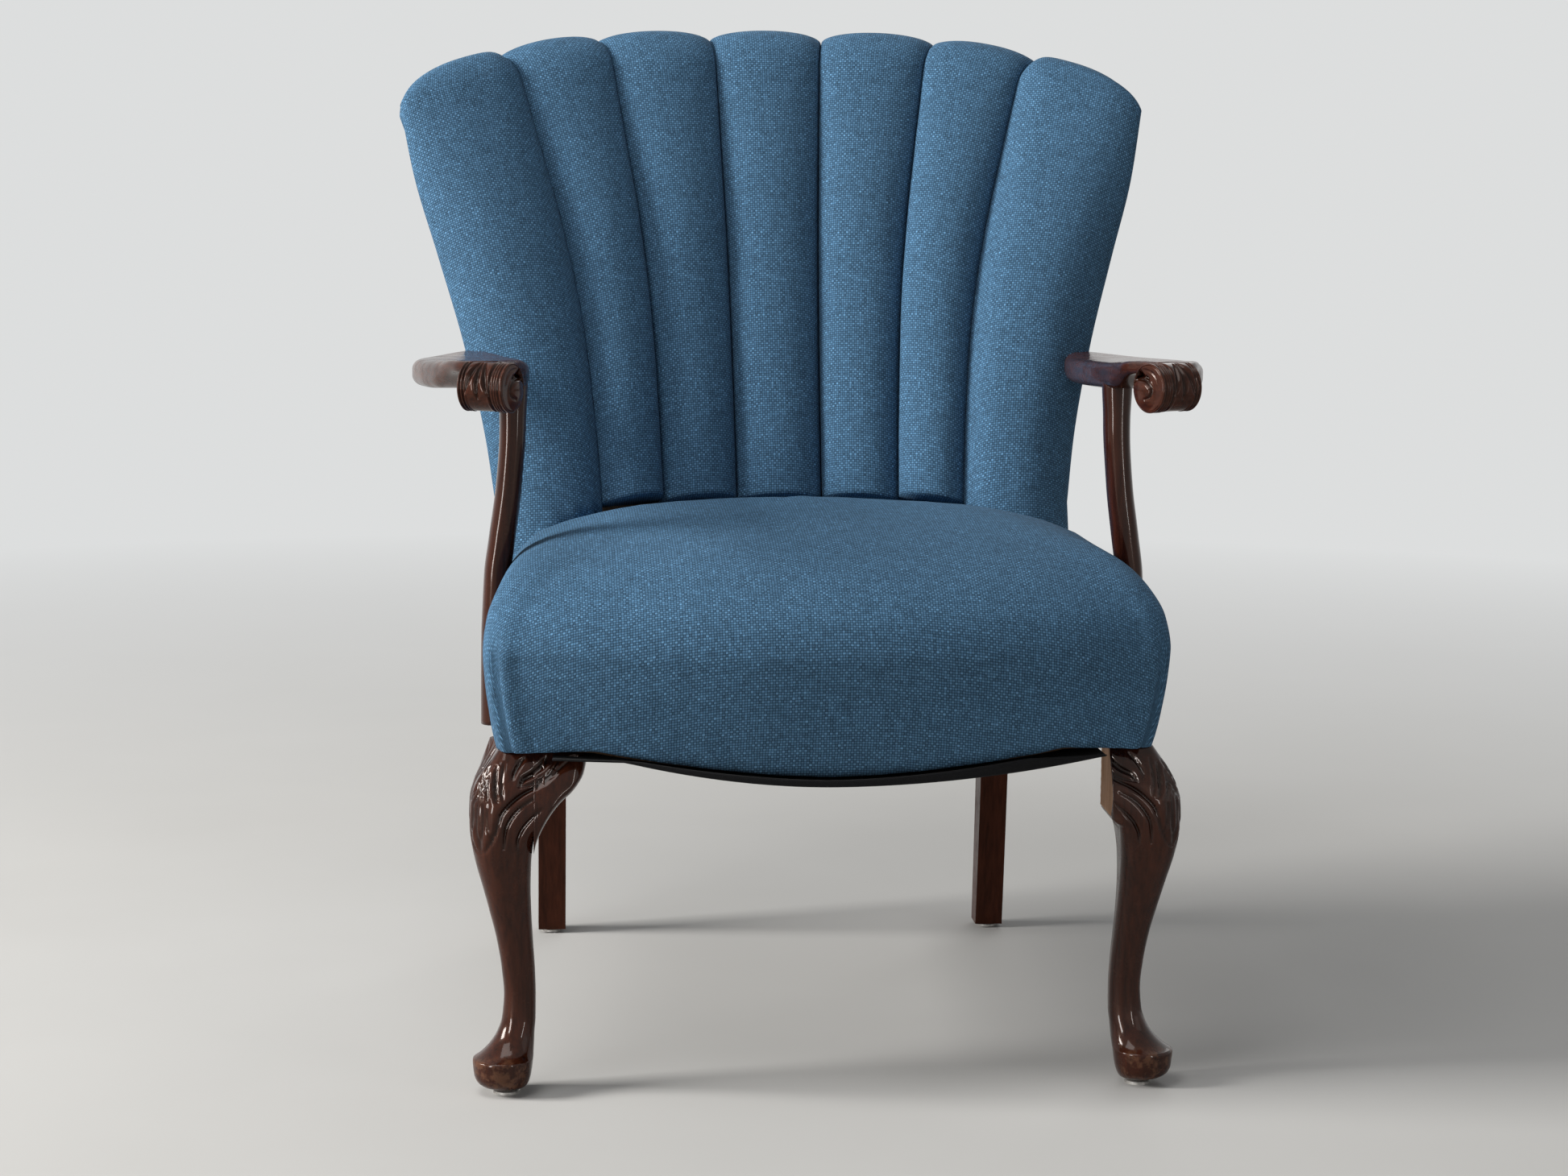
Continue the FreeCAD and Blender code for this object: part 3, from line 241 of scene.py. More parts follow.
# weaves: warp and weft colour, yarn pitch, relief, sheen, slub and turn
BLUE, BLACK = [woven_material(*row) for row in (
    ("blue_weave", (0.054, 0.128, 0.218), (0.086, 0.186, 0.305), 0.0022, 0.00016, 0.02, 0.6),
    ("black_underside", (0.006, 0.006, 0.007), (0.01, 0.01, 0.011), 0.0009, 0.0003, 0.05))]
JUTE, BACK_JUTE = [
    woven_material(name, (0.36, 0.25, 0.13), (0.46, 0.34, 0.19), 0.0022, 0.0009, 0.05, turned=(lean, 0, 0))
    for name, lean in (("jute_strap", 0), ("back_jute_strap", -math.pi / 2))]
# woods: darkest and lightest colour, grain, coat and roughness
DARK_WOOD, ARM_WOOD, RED_WOOD, RAW_WOOD = [wood_material(*row) for row in (
    ("dark_varnish", (0.015, 0.0035, 0.0018), (0.056, 0.0135, 0.0058), (260, 260, 14)),
    ("arm_varnish", (0.02, 0.005, 0.0028), (0.07, 0.0185, 0.009), (260, 14, 260), 0.22),
    ("rear_leg_varnish", (0.024, 0.0058, 0.0028), (0.066, 0.017, 0.008), (300, 300, 12), 0.12, 0.34),
    ("raw_frame_wood", (0.26, 0.145, 0.085), (0.46, 0.29, 0.19), (240, 240, 20), 0, 0.7))]
GLIDE, STEEL, SCREW = [metal_material(*row) for row in (
    ("glide_nickel", (0.52, 0.5, 0.47), 0.28), ("spring_steel", (0.3, 0.28, 0.26), 0.4),
    ("screw_zinc", (0.5, 0.48, 0.44), 0.32))]


# curves and meshes
def ease(xs, ys, x):
    """A smooth curve through table points that never overshoots them."""
    xs, ys = np.asarray(xs, float), np.asarray(ys, float)
    x = np.clip(np.asarray(x, float), xs[0], xs[-1])
    step = np.diff(xs)
    rise = np.diff(ys) / step
    slope = np.zeros(len(xs))
    for i in range(1, len(xs) - 1):
        if rise[i - 1] * rise[i] > 0:
            w1, w2 = 2 * step[i] + step[i - 1], step[i] + 2 * step[i - 1]
            slope[i] = (w1 + w2) / (w1 / rise[i - 1] + w2 / rise[i])
    slope[0], slope[-1] = rise[0], rise[-1]
    i = np.clip(np.searchsorted(xs, x, side="right") - 1, 0, len(xs) - 2)
    t = (x - xs[i]) / step[i]
    return ((1 + 2 * t) * (1 - t) ** 2 * ys[i] + t * (1 - t) ** 2 * step[i] * slope[i]
            + t * t * (3 - 2 * t) * ys[i + 1] + t * t * (t - 1) * step[i] * slope[i + 1])


def read(table, at):
    """Each further column of a table, eased to a value of its first."""
    return [ease(table[:, 0], column, at) for column in table.T[1:]]


def smoothstep(low, high, x):
    t = np.clip((np.asarray(x, float) - low) / (high - low), 0, 1)
    return t * t * (3 - 2 * t)


def unit(v):
    v = np.asarray(v, float)
    return v / np.maximum(np.linalg.norm(v, axis=-1, keepdims=True), 1e-9)


def flipped(points):
    return points * np.array([-1, 1, 1])


def spots(x, y, z):
    """Points from coordinates, each an array or one number."""
    return np.stack(np.broadcast_arrays(x, y, z), -1)


def closed(rings):
    """Rings with their first point once more at the end."""
    return np.concatenate([rings, rings[:, :1]], axis=1)


def quarter_turn(count):
    return np.linspace(0, math.pi / 2, count)


def joined_spans(edges, counts):
    """Even steps over spans that meet, each with its own count of points."""
    spans = [np.linspace(*edges[i:i + 2], count)[:-1] for i, count in enumerate(counts)]
    return np.concatenate([*spans, edges[-1:]])


def lengths_along(rows):
    """Distance run along the last-but-one axis of points, starting from zero."""
    gaps = np.linalg.norm(np.diff(rows, axis=-2), axis=-1)
    return np.concatenate([np.zeros(gaps.shape[:-1] + (1,)), np.cumsum(gaps, axis=-1)], axis=-1)


def arc(start, middle, end, steps):
    """Points in even steps on the circle through three points, in plan or in space."""
    flat = len(start) == 2
    start, middle, end = (np.append(p, 0)[:3] for p in (start, middle, end))
    a, b = middle - start, end - start
    n = np.cross(a, b)
    n2 = n @ n
    centre = start + (np.cross(n, a) * (b @ b) + np.cross(b, n) * (a @ a)) / (2 * n2)
    spoke = start - centre
    side = np.cross(n / math.sqrt(n2), spoke)
    sweep = math.atan2((end - centre) @ side, (end - centre) @ spoke) % (2 * math.pi)
    angles = np.linspace(0, sweep, steps + 1)[:, None]
    points = centre + spoke * np.cos(angles) + side * np.sin(angles)
    return points[:, :2] if flat else points


def new_mesh(name, points, faces, uv):
    mesh = bpy.data.meshes.new(name)
    mesh.from_pydata(placed(points).tolist(), [], faces)
    layer = mesh.uv_layers.new(name="UVMap")
    layer.data.foreach_set("uv", (np.array(uv) * MM).astype(np.float32).ravel())
    return mesh


def finish_mesh(name, mesh, material, nodes=()):
    made = bmesh.new()
    made.from_mesh(mesh)
    bmesh.ops.recalc_face_normals(made, faces=made.faces)
    made.to_mesh(mesh)
    made.free()
    mesh.shade_smooth()
    mesh.materials.append(material)
    piece = linked(name, mesh)
    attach(piece, "root")
    if nodes:
        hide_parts(*nodes)
    return piece


def finish_cloth(name, mesh, nodes):
    return finish_mesh(name, mesh, BLUE, nodes)


def ring_mesh(name, rings, across=None, along=None, marks=()):
    """A tube of rings with closed ends. across and along are its points' UVs, marks their MARKS."""
    rows, count = rings.shape[:2]
    if across is None:
        across = lengths_along(closed(rings))
    if along is None:
        along = np.repeat(lengths_along(rings.mean(axis=1))[:, None], count + 1, axis=1)
    r, c = (axis.ravel() for axis in np.meshgrid(np.arange(rows - 1), np.arange(count), indexing="ij"))
    corners = ((r, c), (r, c + 1), (r + 1, c + 1), (r + 1, c))
    faces = np.stack([i * count + j % count for i, j in corners], 1).tolist()
    uv = np.stack([np.stack([across[i, j], along[i, j]], 1) for i, j in corners], 1).reshape(-1, 2)
    ends, end_uv = [], []
    for row in (0, rows - 1):
        centre = rings[row].mean(axis=0)
        tip = rows * count + len(ends)
        ends.append(centre)
        for i in range(count):
            j = (i + 1) % count
            faces.append([row * count + i, row * count + j, tip])
            end_uv += [p[:2] for p in (rings[row, i], rings[row, j], centre)]
    mesh = new_mesh(name, np.concatenate([rings.reshape(-1, 3), ends]), faces, np.concatenate([uv, end_uv]))
    for key, values in zip(MARKS, marks):
        values = np.append(values, (0, 0)).astype(np.float32)
        mesh.attributes.new(key, "FLOAT", "POINT").data.foreach_set("value", values)
    return mesh


def sheet_mesh(name, grid, thickness, way):
    """A closed sheet from a grid of points, thickened one way."""
    rows, cols = grid.shape[:2]
    across = lengths_along(grid)
    across = across - across[:, -1:] / 2
    along = lengths_along(grid.swapaxes(0, 1)).swapaxes(0, 1)
    points = np.concatenate([grid.reshape(-1, 3), (grid + unit(way) * thickness).reshape(-1, 3)])
    faces, uv = [], []

    def add(*corners):
        faces.append([(side * rows + r) * cols + c for side, r, c in corners])
        uv.extend((across[r, c], along[r, c]) for side, r, c in corners)

    last_row, last_col = rows - 1, cols - 1
    for r in range(last_row):
        for c in range(last_col):
            add((0, r, c), (0, r, c + 1), (0, r + 1, c + 1), (0, r + 1, c))
            add((1, r, c), (1, r + 1, c), (1, r + 1, c + 1), (1, r, c + 1))
    for r in range(last_row):
        add((0, r, 0), (0, r + 1, 0), (1, r + 1, 0), (1, r, 0))
        add((0, r, last_col), (1, r, last_col), (1, r + 1, last_col), (0, r + 1, last_col))
    for c in range(last_col):
        add((0, 0, c), (1, 0, c), (1, 0, c + 1), (0, 0, c + 1))
        add((0, last_row, c), (0, last_row, c + 1), (1, last_row, c + 1), (1, last_row, c))
    return new_mesh(name, points, faces, uv)


LINE_STEPS = 9


def groove_depth(places, lines):
    """How deep the carved lines cut at each place. A line has its points, half width and depth."""
    depth = np.zeros(len(places))
    for points, width, deep in lines:
        points = np.array(points, float)
        run = lengths_along(points)
        at = np.linspace(0, run[-1], LINE_STEPS * len(points))
        line = np.stack([ease(run, column, at) for column in points.T], 1)
        nearest = np.full(len(places), 1e9)
        taper = np.zeros(len(places))
        for a, b, share in zip(line[:-1], line[1:], at / run[-1]):
            way = b - a
            t = np.clip(((places - a) @ way) / max(way @ way, 1e-9), 0, 1)
            gap = np.linalg.norm(places - (a + way * t[:, None]), axis=1)
            closer = gap < nearest
            nearest[closer] = gap[closer]
            taper[closer] = math.sin(math.pi * min(1, max(0, share * 0.92 + 0.04))) ** 0.6
        cut = deep * taper * np.exp(-(nearest / np.maximum(width * (0.5 + 0.5 * taper), 0.3)) ** 2)
        depth = np.maximum(depth, cut)
    return depth


def grooves(first, second, lines):
    """groove_depth over two grids of coordinates."""
    return groove_depth(np.stack([first.ravel(), second.ravel()], 1), lines).reshape(first.shape)


# seat pad, taken from the same heights and shares as the solid
SEAT_HALF, SEAT_LOW, SEAT_CROWN = 279, 284, 461
SEAT_CORNER_Y, SEAT_FRONT_Y, SEAT_BULGE = -15, -54, 14
SEAT_REAR_Y, SEAT_REAR_HALF, SEAT_CORNER = 496, 240, 26
# share of the height, and what is taken in there at the side, corner, front, rear and rear sides
SEAT_SHARES = np.array([
    (-0.09, 0.06, -0.06, -0.08, 0, 0),
    (0, 0.04, -0.045, -0.06, 0, 0),
    (0.16, 0.02, -0.022, -0.028, 0, 0),
    (0.32, 0.006, -0.006, -0.008, 0, 0),
    (0.46, 0, 0, 0, 0, 0),
    (0.6, 0.012, 0.034, 0.03, 0, 0.01),
    (0.71, 0.045, 0.105, 0.098, 0, 0.03),
    (0.81, 0.105, 0.215, 0.215, 0.01, 0.07),
    (0.89, 0.22, 0.37, 0.375, 0.03, 0.16),
    (0.955, 0.43, 0.6, 0.61, 0.1, 0.34),
    (1, 0.72, 0.9, 0.92, 0.3, 0.62),
])
FRONT_COUNT, CORNER_COUNT, SIDE_COUNT, REAR_COUNT = 72, 14, 36, 40
RING_COUNT = FRONT_COUNT + 4 * CORNER_COUNT + 2 * SIDE_COUNT + REAR_COUNT


def seat_outline(height, inset=0):
    """The pad's plan at a height, from the front left corner round by the right."""
    share = (height - SEAT_LOW) / (SEAT_CROWN - SEAT_LOW)
    side_s, corner_s, front_s, rear_s, rear_side_s = read(SEAT_SHARES, share)
    side = SEAT_HALF * (1 - side_s) - inset
    rear_side = (SEAT_REAR_HALF - inset) * (1 - rear_side_s)
    corner_y = SEAT_CORNER_Y - SEAT_BULGE + SEAT_HALF * abs(corner_s) + inset
    front_y = SEAT_FRONT_Y - SEAT_BULGE + SEAT_HALF * abs(front_s) + inset
    rear_y = SEAT_REAR_Y - SEAT_HALF * rear_s - inset
    radius = SEAT_CORNER + SEAT_HALF * side_s * 0.2
    lean = radius * (1 - math.sqrt(0.5))
    # start, middle and end of each corner: front right and rear right, then their mirrors
    plan = [(side - radius, corner_y), (side - lean, corner_y + lean), (side, corner_y + radius),
            (rear_side, rear_y - radius), (rear_side - lean, rear_y - lean), (rear_side - radius, rear_y)]
    plan = np.array(plan + [(-x, y) for x, y in plan[::-1]])
    ring = [arc(plan[-1], (0, front_y), plan[0], FRONT_COUNT)[:-1]]
    for i, count in ((0, SIDE_COUNT), (3, REAR_COUNT), (6, SIDE_COUNT), (9, 0)):
        ring.append(arc(*plan[i:i + 3], CORNER_COUNT)[:-1])
        ring.append(np.linspace(plan[i + 2], plan[(i + 3) % 12], count, endpoint=False))
    return np.concatenate(ring)


def seat_fall(points):
    """How far the pad's top drops towards the back, where the shell hides it."""
    x, y, z = np.moveaxis(points, -1, 0)
    return (30 + 12 * (x / 200) ** 2) * smoothstep(190, 470, y) * smoothstep(330, 450, z)


def clear_of_seat(points, gap=1.5):
    """Moves the points that lie in the pad sideways to its surface, with a small gap."""
    flat = points.reshape(-1, 3).copy()
    level = flat[:, 2] + seat_fall(flat)
    for i in np.nonzero(level < SEAT_CROWN - gap)[0]:
        place = flat[i, :2]
        ring = seat_outline(max(level[i], SEAT_LOW + 4), -gap)
        edge = np.roll(ring, -1, axis=0) - ring
        from_ring = place - ring
        if (edge[:, 0] * from_ring[:, 1] - edge[:, 1] * from_ring[:, 0] > 0).all():
            t = np.clip((from_ring * edge).sum(1) / np.maximum((edge ** 2).sum(1), 1e-9), 0, 1)
            near = ring + edge * t[:, None]
            flat[i, :2] = near[np.argmin(((near - place) ** 2).sum(1))]
    return flat.reshape(points.shape)


def hem_height(x):
    """The lower edge of the seat cloth: high over the brackets and dipped along the front."""
    x = np.abs(x)
    dip = 269.2 + 19.3 * np.clip(x / 190, 0, 1) ** 1.7
    return np.where(x < 190, dip, 288.5 - 4.9 * np.clip((x - 190) / 70, 0, 1))


def lip_height(x):
    """The lower edge of the black cloth under it, which hangs wider on one side."""
    return 262.6 + 18.4 * np.minimum(1, np.abs(x) / np.where(x < 0, 166, 222)) ** 1.9


# columns of the ring where the corner seams run, and where the threads turn
SEAMS_AT = (FRONT_COUNT + CORNER_COUNT * 0.42, RING_COUNT - CORNER_COUNT * 0.42)
TURNS_AT = (SEAMS_AT[0], FRONT_COUNT + CORNER_COUNT * 1.5 + SIDE_COUNT,
            FRONT_COUNT + CORNER_COUNT * 2.5 + SIDE_COUNT + REAR_COUNT, SEAMS_AT[1])


def thread_angle(spread):
    """The way the threads leave the top for each column, turning a quarter at each corner."""
    column = np.arange(RING_COUNT + 1)
    angle = np.full(RING_COUNT + 1, -math.pi / 2 - 2 * math.pi)
    for turn in TURNS_AT:
        for lap in (-RING_COUNT, 0):
            angle += math.pi / 2 * smoothstep(-spread, spread, column - turn - lap)
    return angle


def seat_threads(rings):
    """UVs run straight over the top and down each side, and turn at the corner seams."""
    looped = closed(rings)
    wide, narrow = thread_angle(17), thread_angle(0.6)
    uv = looped[..., :2].copy()
    for row in range(len(looped) - 2, -1, -1):
        low = smoothstep(392, 366, looped[row, :, 2])
        angle = wide * (1 - low) + narrow * low
        way = np.stack([np.cos(angle), np.sin(angle)], 1)
        step = looped[row, :, :2] - looped[row + 1, :, :2]
        fall = looped[row, :, 2] - looped[row + 1, :, 2]
        out = (step * way).sum(1)
        uv[row] = uv[row + 1] + step + way * (np.sqrt(out ** 2 + fall ** 2) - out)[:, None]
    return uv[..., 0], uv[..., 1]


SEAT_ROWS, SEAT_HEM, SEAM_RUN = 64, 283.6, 3
CROWN_CENTRE, CROWN_LIFT = (0, 226, 0), 1.4
# the cloth turned in under the pad: how far in, and how far over the hem
HEM_TURNS = ((30, 2.2), (12, 1.2), (5, 0), (1.6, -0.7))
# the tuck that runs back beside each arm post
TUCK = np.array([(246, 150), (232, 260), (196, 372), (150, 430)])


def from_middle(rings):
    """The level way out from each ring's middle, at its points."""
    return unit((rings - rings.mean(axis=-2, keepdims=True)) * (1, 1, 0))


def make_seat():
    base = seat_outline(SEAT_LOW)
    hem = np.where(base[:, 1] < 40, hem_height(base[:, 0]), SEAT_HEM)
    drop = SEAT_LOW - hem.min()
    mix = np.clip((SEAT_LOW - hem) / drop, 0, 1)[:, None]
    rings = []
    for share in np.linspace(0, 1, SEAT_ROWS):
        height = SEAT_LOW + (SEAT_CROWN - SEAT_LOW) * share
        ring = seat_outline(height) * (1 - mix) + seat_outline(height - drop * (1 - share)) * mix
        rings.append(np.column_stack([ring, hem + (SEAT_CROWN - hem) * share]))
    rings = np.array(rings)
    index = np.arange(RING_COUNT)
    for corner in SEAMS_AT:
        away = np.abs(index - corner)
        away = np.minimum(away, RING_COUNT - away) * SEAM_RUN
        depth = 2.8 * np.exp(-(away / 2.6) ** 2) - 1.6 * np.exp(-((away - 8) / 6) ** 2)
        rings -= from_middle(rings) * (depth * smoothstep(386, 350, rings[..., 2]))[..., None]
    # hand-stuffed unevenness, and small puckers where the cloth is strained down over the corners
    x, y, z = np.moveaxis(rings, -1, 0)
    wave = np.sin(x * 0.021 + 1) * np.sin(y * 0.017 + 0.4) + 0.5 * np.sin(x * 0.047 + z * 0.031)
    swell = 0.9 * wave * smoothstep(286, 330, z)
    rings += unit((rings - (0, 230, 340)) * (0.6, 0.6, 1)) * swell[..., None]
    pull = 0.55 * np.sin(index * 0.95 + 0.7 * np.sin(index * 0.31)) * smoothstep(322, 292, rings[..., 2])
    rings += from_middle(rings) * pull[..., None]
    last, caps, under = rings[-1], [], []
    for share in (0.92, 0.84, 0.76, 0.68, 0.6, 0.52, 0.44, 0.36, 0.28, 0.2, 0.12, 0.05):
        caps.append(CROWN_CENTRE + (last - CROWN_CENTRE) * (share, share, 1))
        caps[-1][:, 2] = last[:, 2] + CROWN_LIFT * (1 - share ** 2)
    for reach, lift in HEM_TURNS:
        under.append(rings[0] - from_middle(rings[0]) * reach + (0, 0, lift))
    rings = np.concatenate([under, rings, caps])
    rings[..., 2] -= seat_fall(rings)
    for side in SIDES.values():
        line = TUCK * (side, 1)
        x, y, z = np.moveaxis(rings, -1, 0)
        fold = grooves(x, y, [(line, 3.4, 2.4)]) - grooves(x + side * 7, y + 2, [(line, 4.5, 1.3)])
        rings[..., 2] -= fold * smoothstep(386, 404, z)
    mesh = ring_mesh("seat_cushion", rings, *seat_threads(rings))
    piece = finish_cloth("seat_cushion", mesh, ("seat_cover", "seat_padding", "seat_burlap"))


make_seat()


# shell back
BACK_HALF, BACK_SEAT_Y, BACK_SEAT_Z, CREST_Y, CREST_Z, ROLL = 332, 490, 430, 690, 823, 34
# seams from the middle out: shares for the foot's x and y, the crest's x, y and z and the roll,
# then how far the channel turns, in degrees, before and behind the crest
SEAM_SHARES = [
    (0, 1, 0, 1, 1, 1, 0, 0),
    (0.122, 0.9918, 0.1657, 0.9957, 0.9964, 1, 8, 8),
    (0.3389, 0.951, 0.494, 0.971, 0.9939, 0.9706, 24, 24),
    (0.506, 0.8816, 0.7741, 0.9188, 0.979, 0.8529, 42, 40),
    (0.805, 0.8898, 1.01, 0.8551, 0.949, 0.82, -52, 46),
]
WING_SEAM, WING_EDGE = 3, 4
RISE = [0, 0.16, 0.4, 0.62, 0.82, 1]
FLARE = [0, 0.06, 0.2, 0.43, 0.72, 1]
WING_FLARE = [0, 0.1, 0.33, 0.6, 0.85, 1]
FIRST_LIFT, LAST_LIFT, LAP_Z, LAP_DRAW = 24, 180, 749, 10
BACK_RISE, BASE_DEPTH, SEAM_GAP = 407, 8, 0.35


def facing(seam, lift):
    level = math.cos(math.radians(lift))
    turn = math.radians(seam[6] if level > 0 else seam[7])
    return np.array([-math.sin(turn) * level, -math.cos(turn) * level, math.sin(math.radians(lift))])


def on_roll(seam, lift):
    centre = np.array([BACK_HALF * seam[2], CREST_Y * seam[3], CREST_Z * seam[4]])
    return centre + facing(seam, lift) * ROLL * seam[5]


def on_seam(index, t):
    """A point of a seam and the way it faces: t to 1 up the back, to 2 over the crest, to 3 behind."""
    seam = SEAM_SHARES[abs(index)]
    if t <= 1:
        start = on_roll(seam, FIRST_LIFT)
        foot = np.array([BACK_HALF * seam[0], BACK_SEAT_Y * seam[1], BACK_SEAT_Z])
        flare = ease(RISE, WING_FLARE if abs(index) == WING_EDGE else FLARE, t) if t > 0 else 0
        point, way = foot + (start - foot) * (flare, t, t), facing(seam, FIRST_LIFT)
    elif t <= 2:
        lift = FIRST_LIFT + (LAST_LIFT - FIRST_LIFT) * (t - 1)
        point, way = on_roll(seam, lift), facing(seam, lift)
    else:
        way = facing(seam, LAST_LIFT) * (1, 1, 0)
        point = on_roll(seam, LAST_LIFT)
        point[2] += (LAP_Z - point[2]) * (t - 2)
        if abs(index) == WING_EDGE:
            point[0] -= LAP_DRAW * (t - 2)
    if index < 0:
        point, way = flipped(point), flipped(way)
    return point, way


def back_rows(foot_z):
    low = (foot_z - BACK_SEAT_Z) / BACK_RISE
    return joined_spans((low, 0.12, 1, 2, 3), (14, 40, 30, 10))


def crest_share(t):
    return smoothstep(0.55, 1.17, t)


def flute_bulge(t, low, high, lap):
    value = low + (high - low) * crest_share(t)
    return value + (lap - value) * smoothstep(1.75, 2.7, t)


FLUTE_COUNT, FLUTE_POWER = 30, 2 / 2.08


def flute_ring(t, left, right, seed):
    angle = np.linspace(-math.pi / 2, math.pi / 2, FLUTE_COUNT)
    side = (np.sign(np.sin(angle)) * np.abs(np.sin(angle)) ** FLUTE_POWER)[:, None]
    proud = (np.abs(np.cos(angle)) ** FLUTE_POWER)[:, None]
    first, first_way = on_seam(left, t)
    last, last_way = on_seam(right, t)
    gap = unit(last - first) * SEAM_GAP
    first, last = first + gap, last - gap
    way = unit(first_way + last_way)
    uneven = 1 + 0.03 * math.sin(t * 7 + seed) + 0.02 * math.sin(t * 17 + seed * 2)
    bulge = flute_bulge(t, 25, 13.5, 3) * uneven
    middle, reach = (first + last) / 2, (last - first) / 2
    turned = unit(first_way) * (0.5 - side / 2) + unit(last_way) * (0.5 + side / 2)
    face = middle + reach * side + unit(turned * 0.35 + way * 0.65) * (bulge * proud)
    # fine puckers run in from the seams where the channel bends over the crest
    pinch = math.exp(-((t - 1.35) / 0.28) ** 2) * 0.5 + 0.22
    ripple = np.sin(t * 46 + seed + side * 2) * np.abs(side) ** 6
    face += way * (ripple * pinch * 0.6)
    base = [last - last_way * BASE_DEPTH, middle - way * BASE_DEPTH, first - first_way * BASE_DEPTH]
    return np.concatenate([face, base])


WING_DEPTH, WING_RETURN = 14, np.array([-0.3, 0.95, 0]) * 52
WING_COUNT, RETURN_STEPS, SMOOTHINGS = 34, 15, 10


def wing_rear(t):
    """Where the wing's side ends and the outside wing begins."""
    edge, way = on_seam(WING_EDGE, t)
    return edge - way * WING_DEPTH + WING_RETURN * (1 - crest_share(t))


def wing_ring(t, seed):
    first, first_way = on_seam(WING_SEAM, t)
    edge, edge_way = on_seam(WING_EDGE, t)
    blend = crest_share(t)
    first = first + unit(edge - first) * SEAM_GAP
    base = first - first_way * BASE_DEPTH
    way = unit(first_way + edge_way)
    bulge = flute_bulge(t, 34, 15.5, 4) * (1 + 0.02 * math.sin(t * 6 + seed))
    rear = wing_rear(t)
    out = (edge + rear) / 2 - ((first + edge) / 2 + way * bulge + base) / 2
    side_way = unit(rear - edge)
    out = unit(out - side_way * (out @ side_way))
    side_middle = (edge + rear) / 2 + out * (7 - 5.5 * blend)
    # fuller than a plain arc, as stuffing under strained cloth is, and fullest beside the seam
    angle = np.linspace(-math.pi / 2, math.pi / 2, WING_COUNT)[:, None]
    share = 0.5 + np.sin(angle) / 2
    full = bulge * np.abs(np.cos(angle)) ** (1.5 - 0.55 * blend)
    full += (6 * np.exp(-((share - 0.13) / 0.11) ** 2) * (1 - 0.5 * blend)
             * np.sin(np.clip(share / 0.13, 0, 1) * math.pi / 2))
    line = first + (edge - first) * share + way * full
    line = np.concatenate([line, arc(edge, side_middle, rear, RETURN_STEPS)[1:]])
    for _ in range(SMOOTHINGS):
        line[1:-1] = (line[:-2] + line[2:]) / 4 + line[1:-1] / 2
    return np.concatenate([line, [rear * 0.66 + base * 0.34, rear * 0.33 + base * 0.67, base]])


def make_channel(name, rings, spine, zero_at, zero_share, nodes, side=1):
    """A padded channel. UVs run along the spine column and start across at a share of a column's."""
    rings = np.array(rings)
    across = lengths_along(closed(rings))
    along = np.repeat(lengths_along(rings[:, spine])[:, None], across.shape[1], axis=1)
    across = across - across[:, zero_at:zero_at + 1] * zero_share
    rings = clear_of_seat(rings)
    mesh = ring_mesh(name, rings if side > 0 else flipped(rings), across, along)
    piece = finish_cloth(name + "_channel", mesh, nodes)


# flutes: name, the seams on both sides, the foot's height and what makes each uneven in its own way
for name, left, right, foot, seed in (
        ("flute_centre", -1, 1, 426, 0.4), ("flute_inner_right", 1, 2, 427, 1.3),
        ("flute_inner_left", -2, -1, 427, 2.1), ("flute_outer_right", 2, 3, 430, 3.2),
        ("flute_outer_left", -3, -2, 430, 4.4)):
    nodes = (name, "back_padding") if name == "flute_centre" else (name,)
    rings = [flute_ring(t, left, right, seed) for t in back_rows(foot)]
    make_channel(name, rings, FLUTE_COUNT // 2, FLUTE_COUNT - 1, 0.5, nodes)
WING_FOOT, WING_MIDDLE = 352, 14
for end, seed in (("right", 5), ("left", 6.1)):
    name = "flute_wing_" + end
    rings = [wing_ring(t, seed) for t in back_rows(WING_FOOT)]
    make_channel(name, rings, WING_MIDDLE, WING_MIDDLE, 1, (name,), SIDES[end])


# outside back and outside wings
OUT_LOW, OUT_HIGH, WING_TOP = 288, 754, 788
# half width, y and belly at the foot and at the lap
OUT_FOOT, OUT_LAP = np.array([227, 535.6, 0.5]), np.array([273, 656, 62])


def outside_plan(z):
    return OUT_FOOT + (OUT_LAP - OUT_FOOT) * (z - OUT_LOW) / (LAP_Z - OUT_LOW)


def make_outside_back():
    grid = []
    u = np.linspace(-1, 1, 72)
    for z in np.linspace(OUT_LOW, OUT_HIGH, 60):
        half, edge_y, belly = outside_plan(z)
        rim = np.minimum((1 - np.abs(u)) * half, min(z - OUT_LOW, OUT_HIGH - z))
        puff = 3.2 * (1 - np.exp(-rim / 5)) + 1.6 * smoothstep(OUT_HIGH - 22, OUT_HIGH - 6, z)
        grid.append(spots(u * half, edge_y + belly * (1 - u * u) + puff, z))
    mesh = sheet_mesh("outside_back_panel", np.array(grid), 2.2, (0, -1, 0))
    finish_cloth("outside_back_panel", mesh, ("outside_back",))


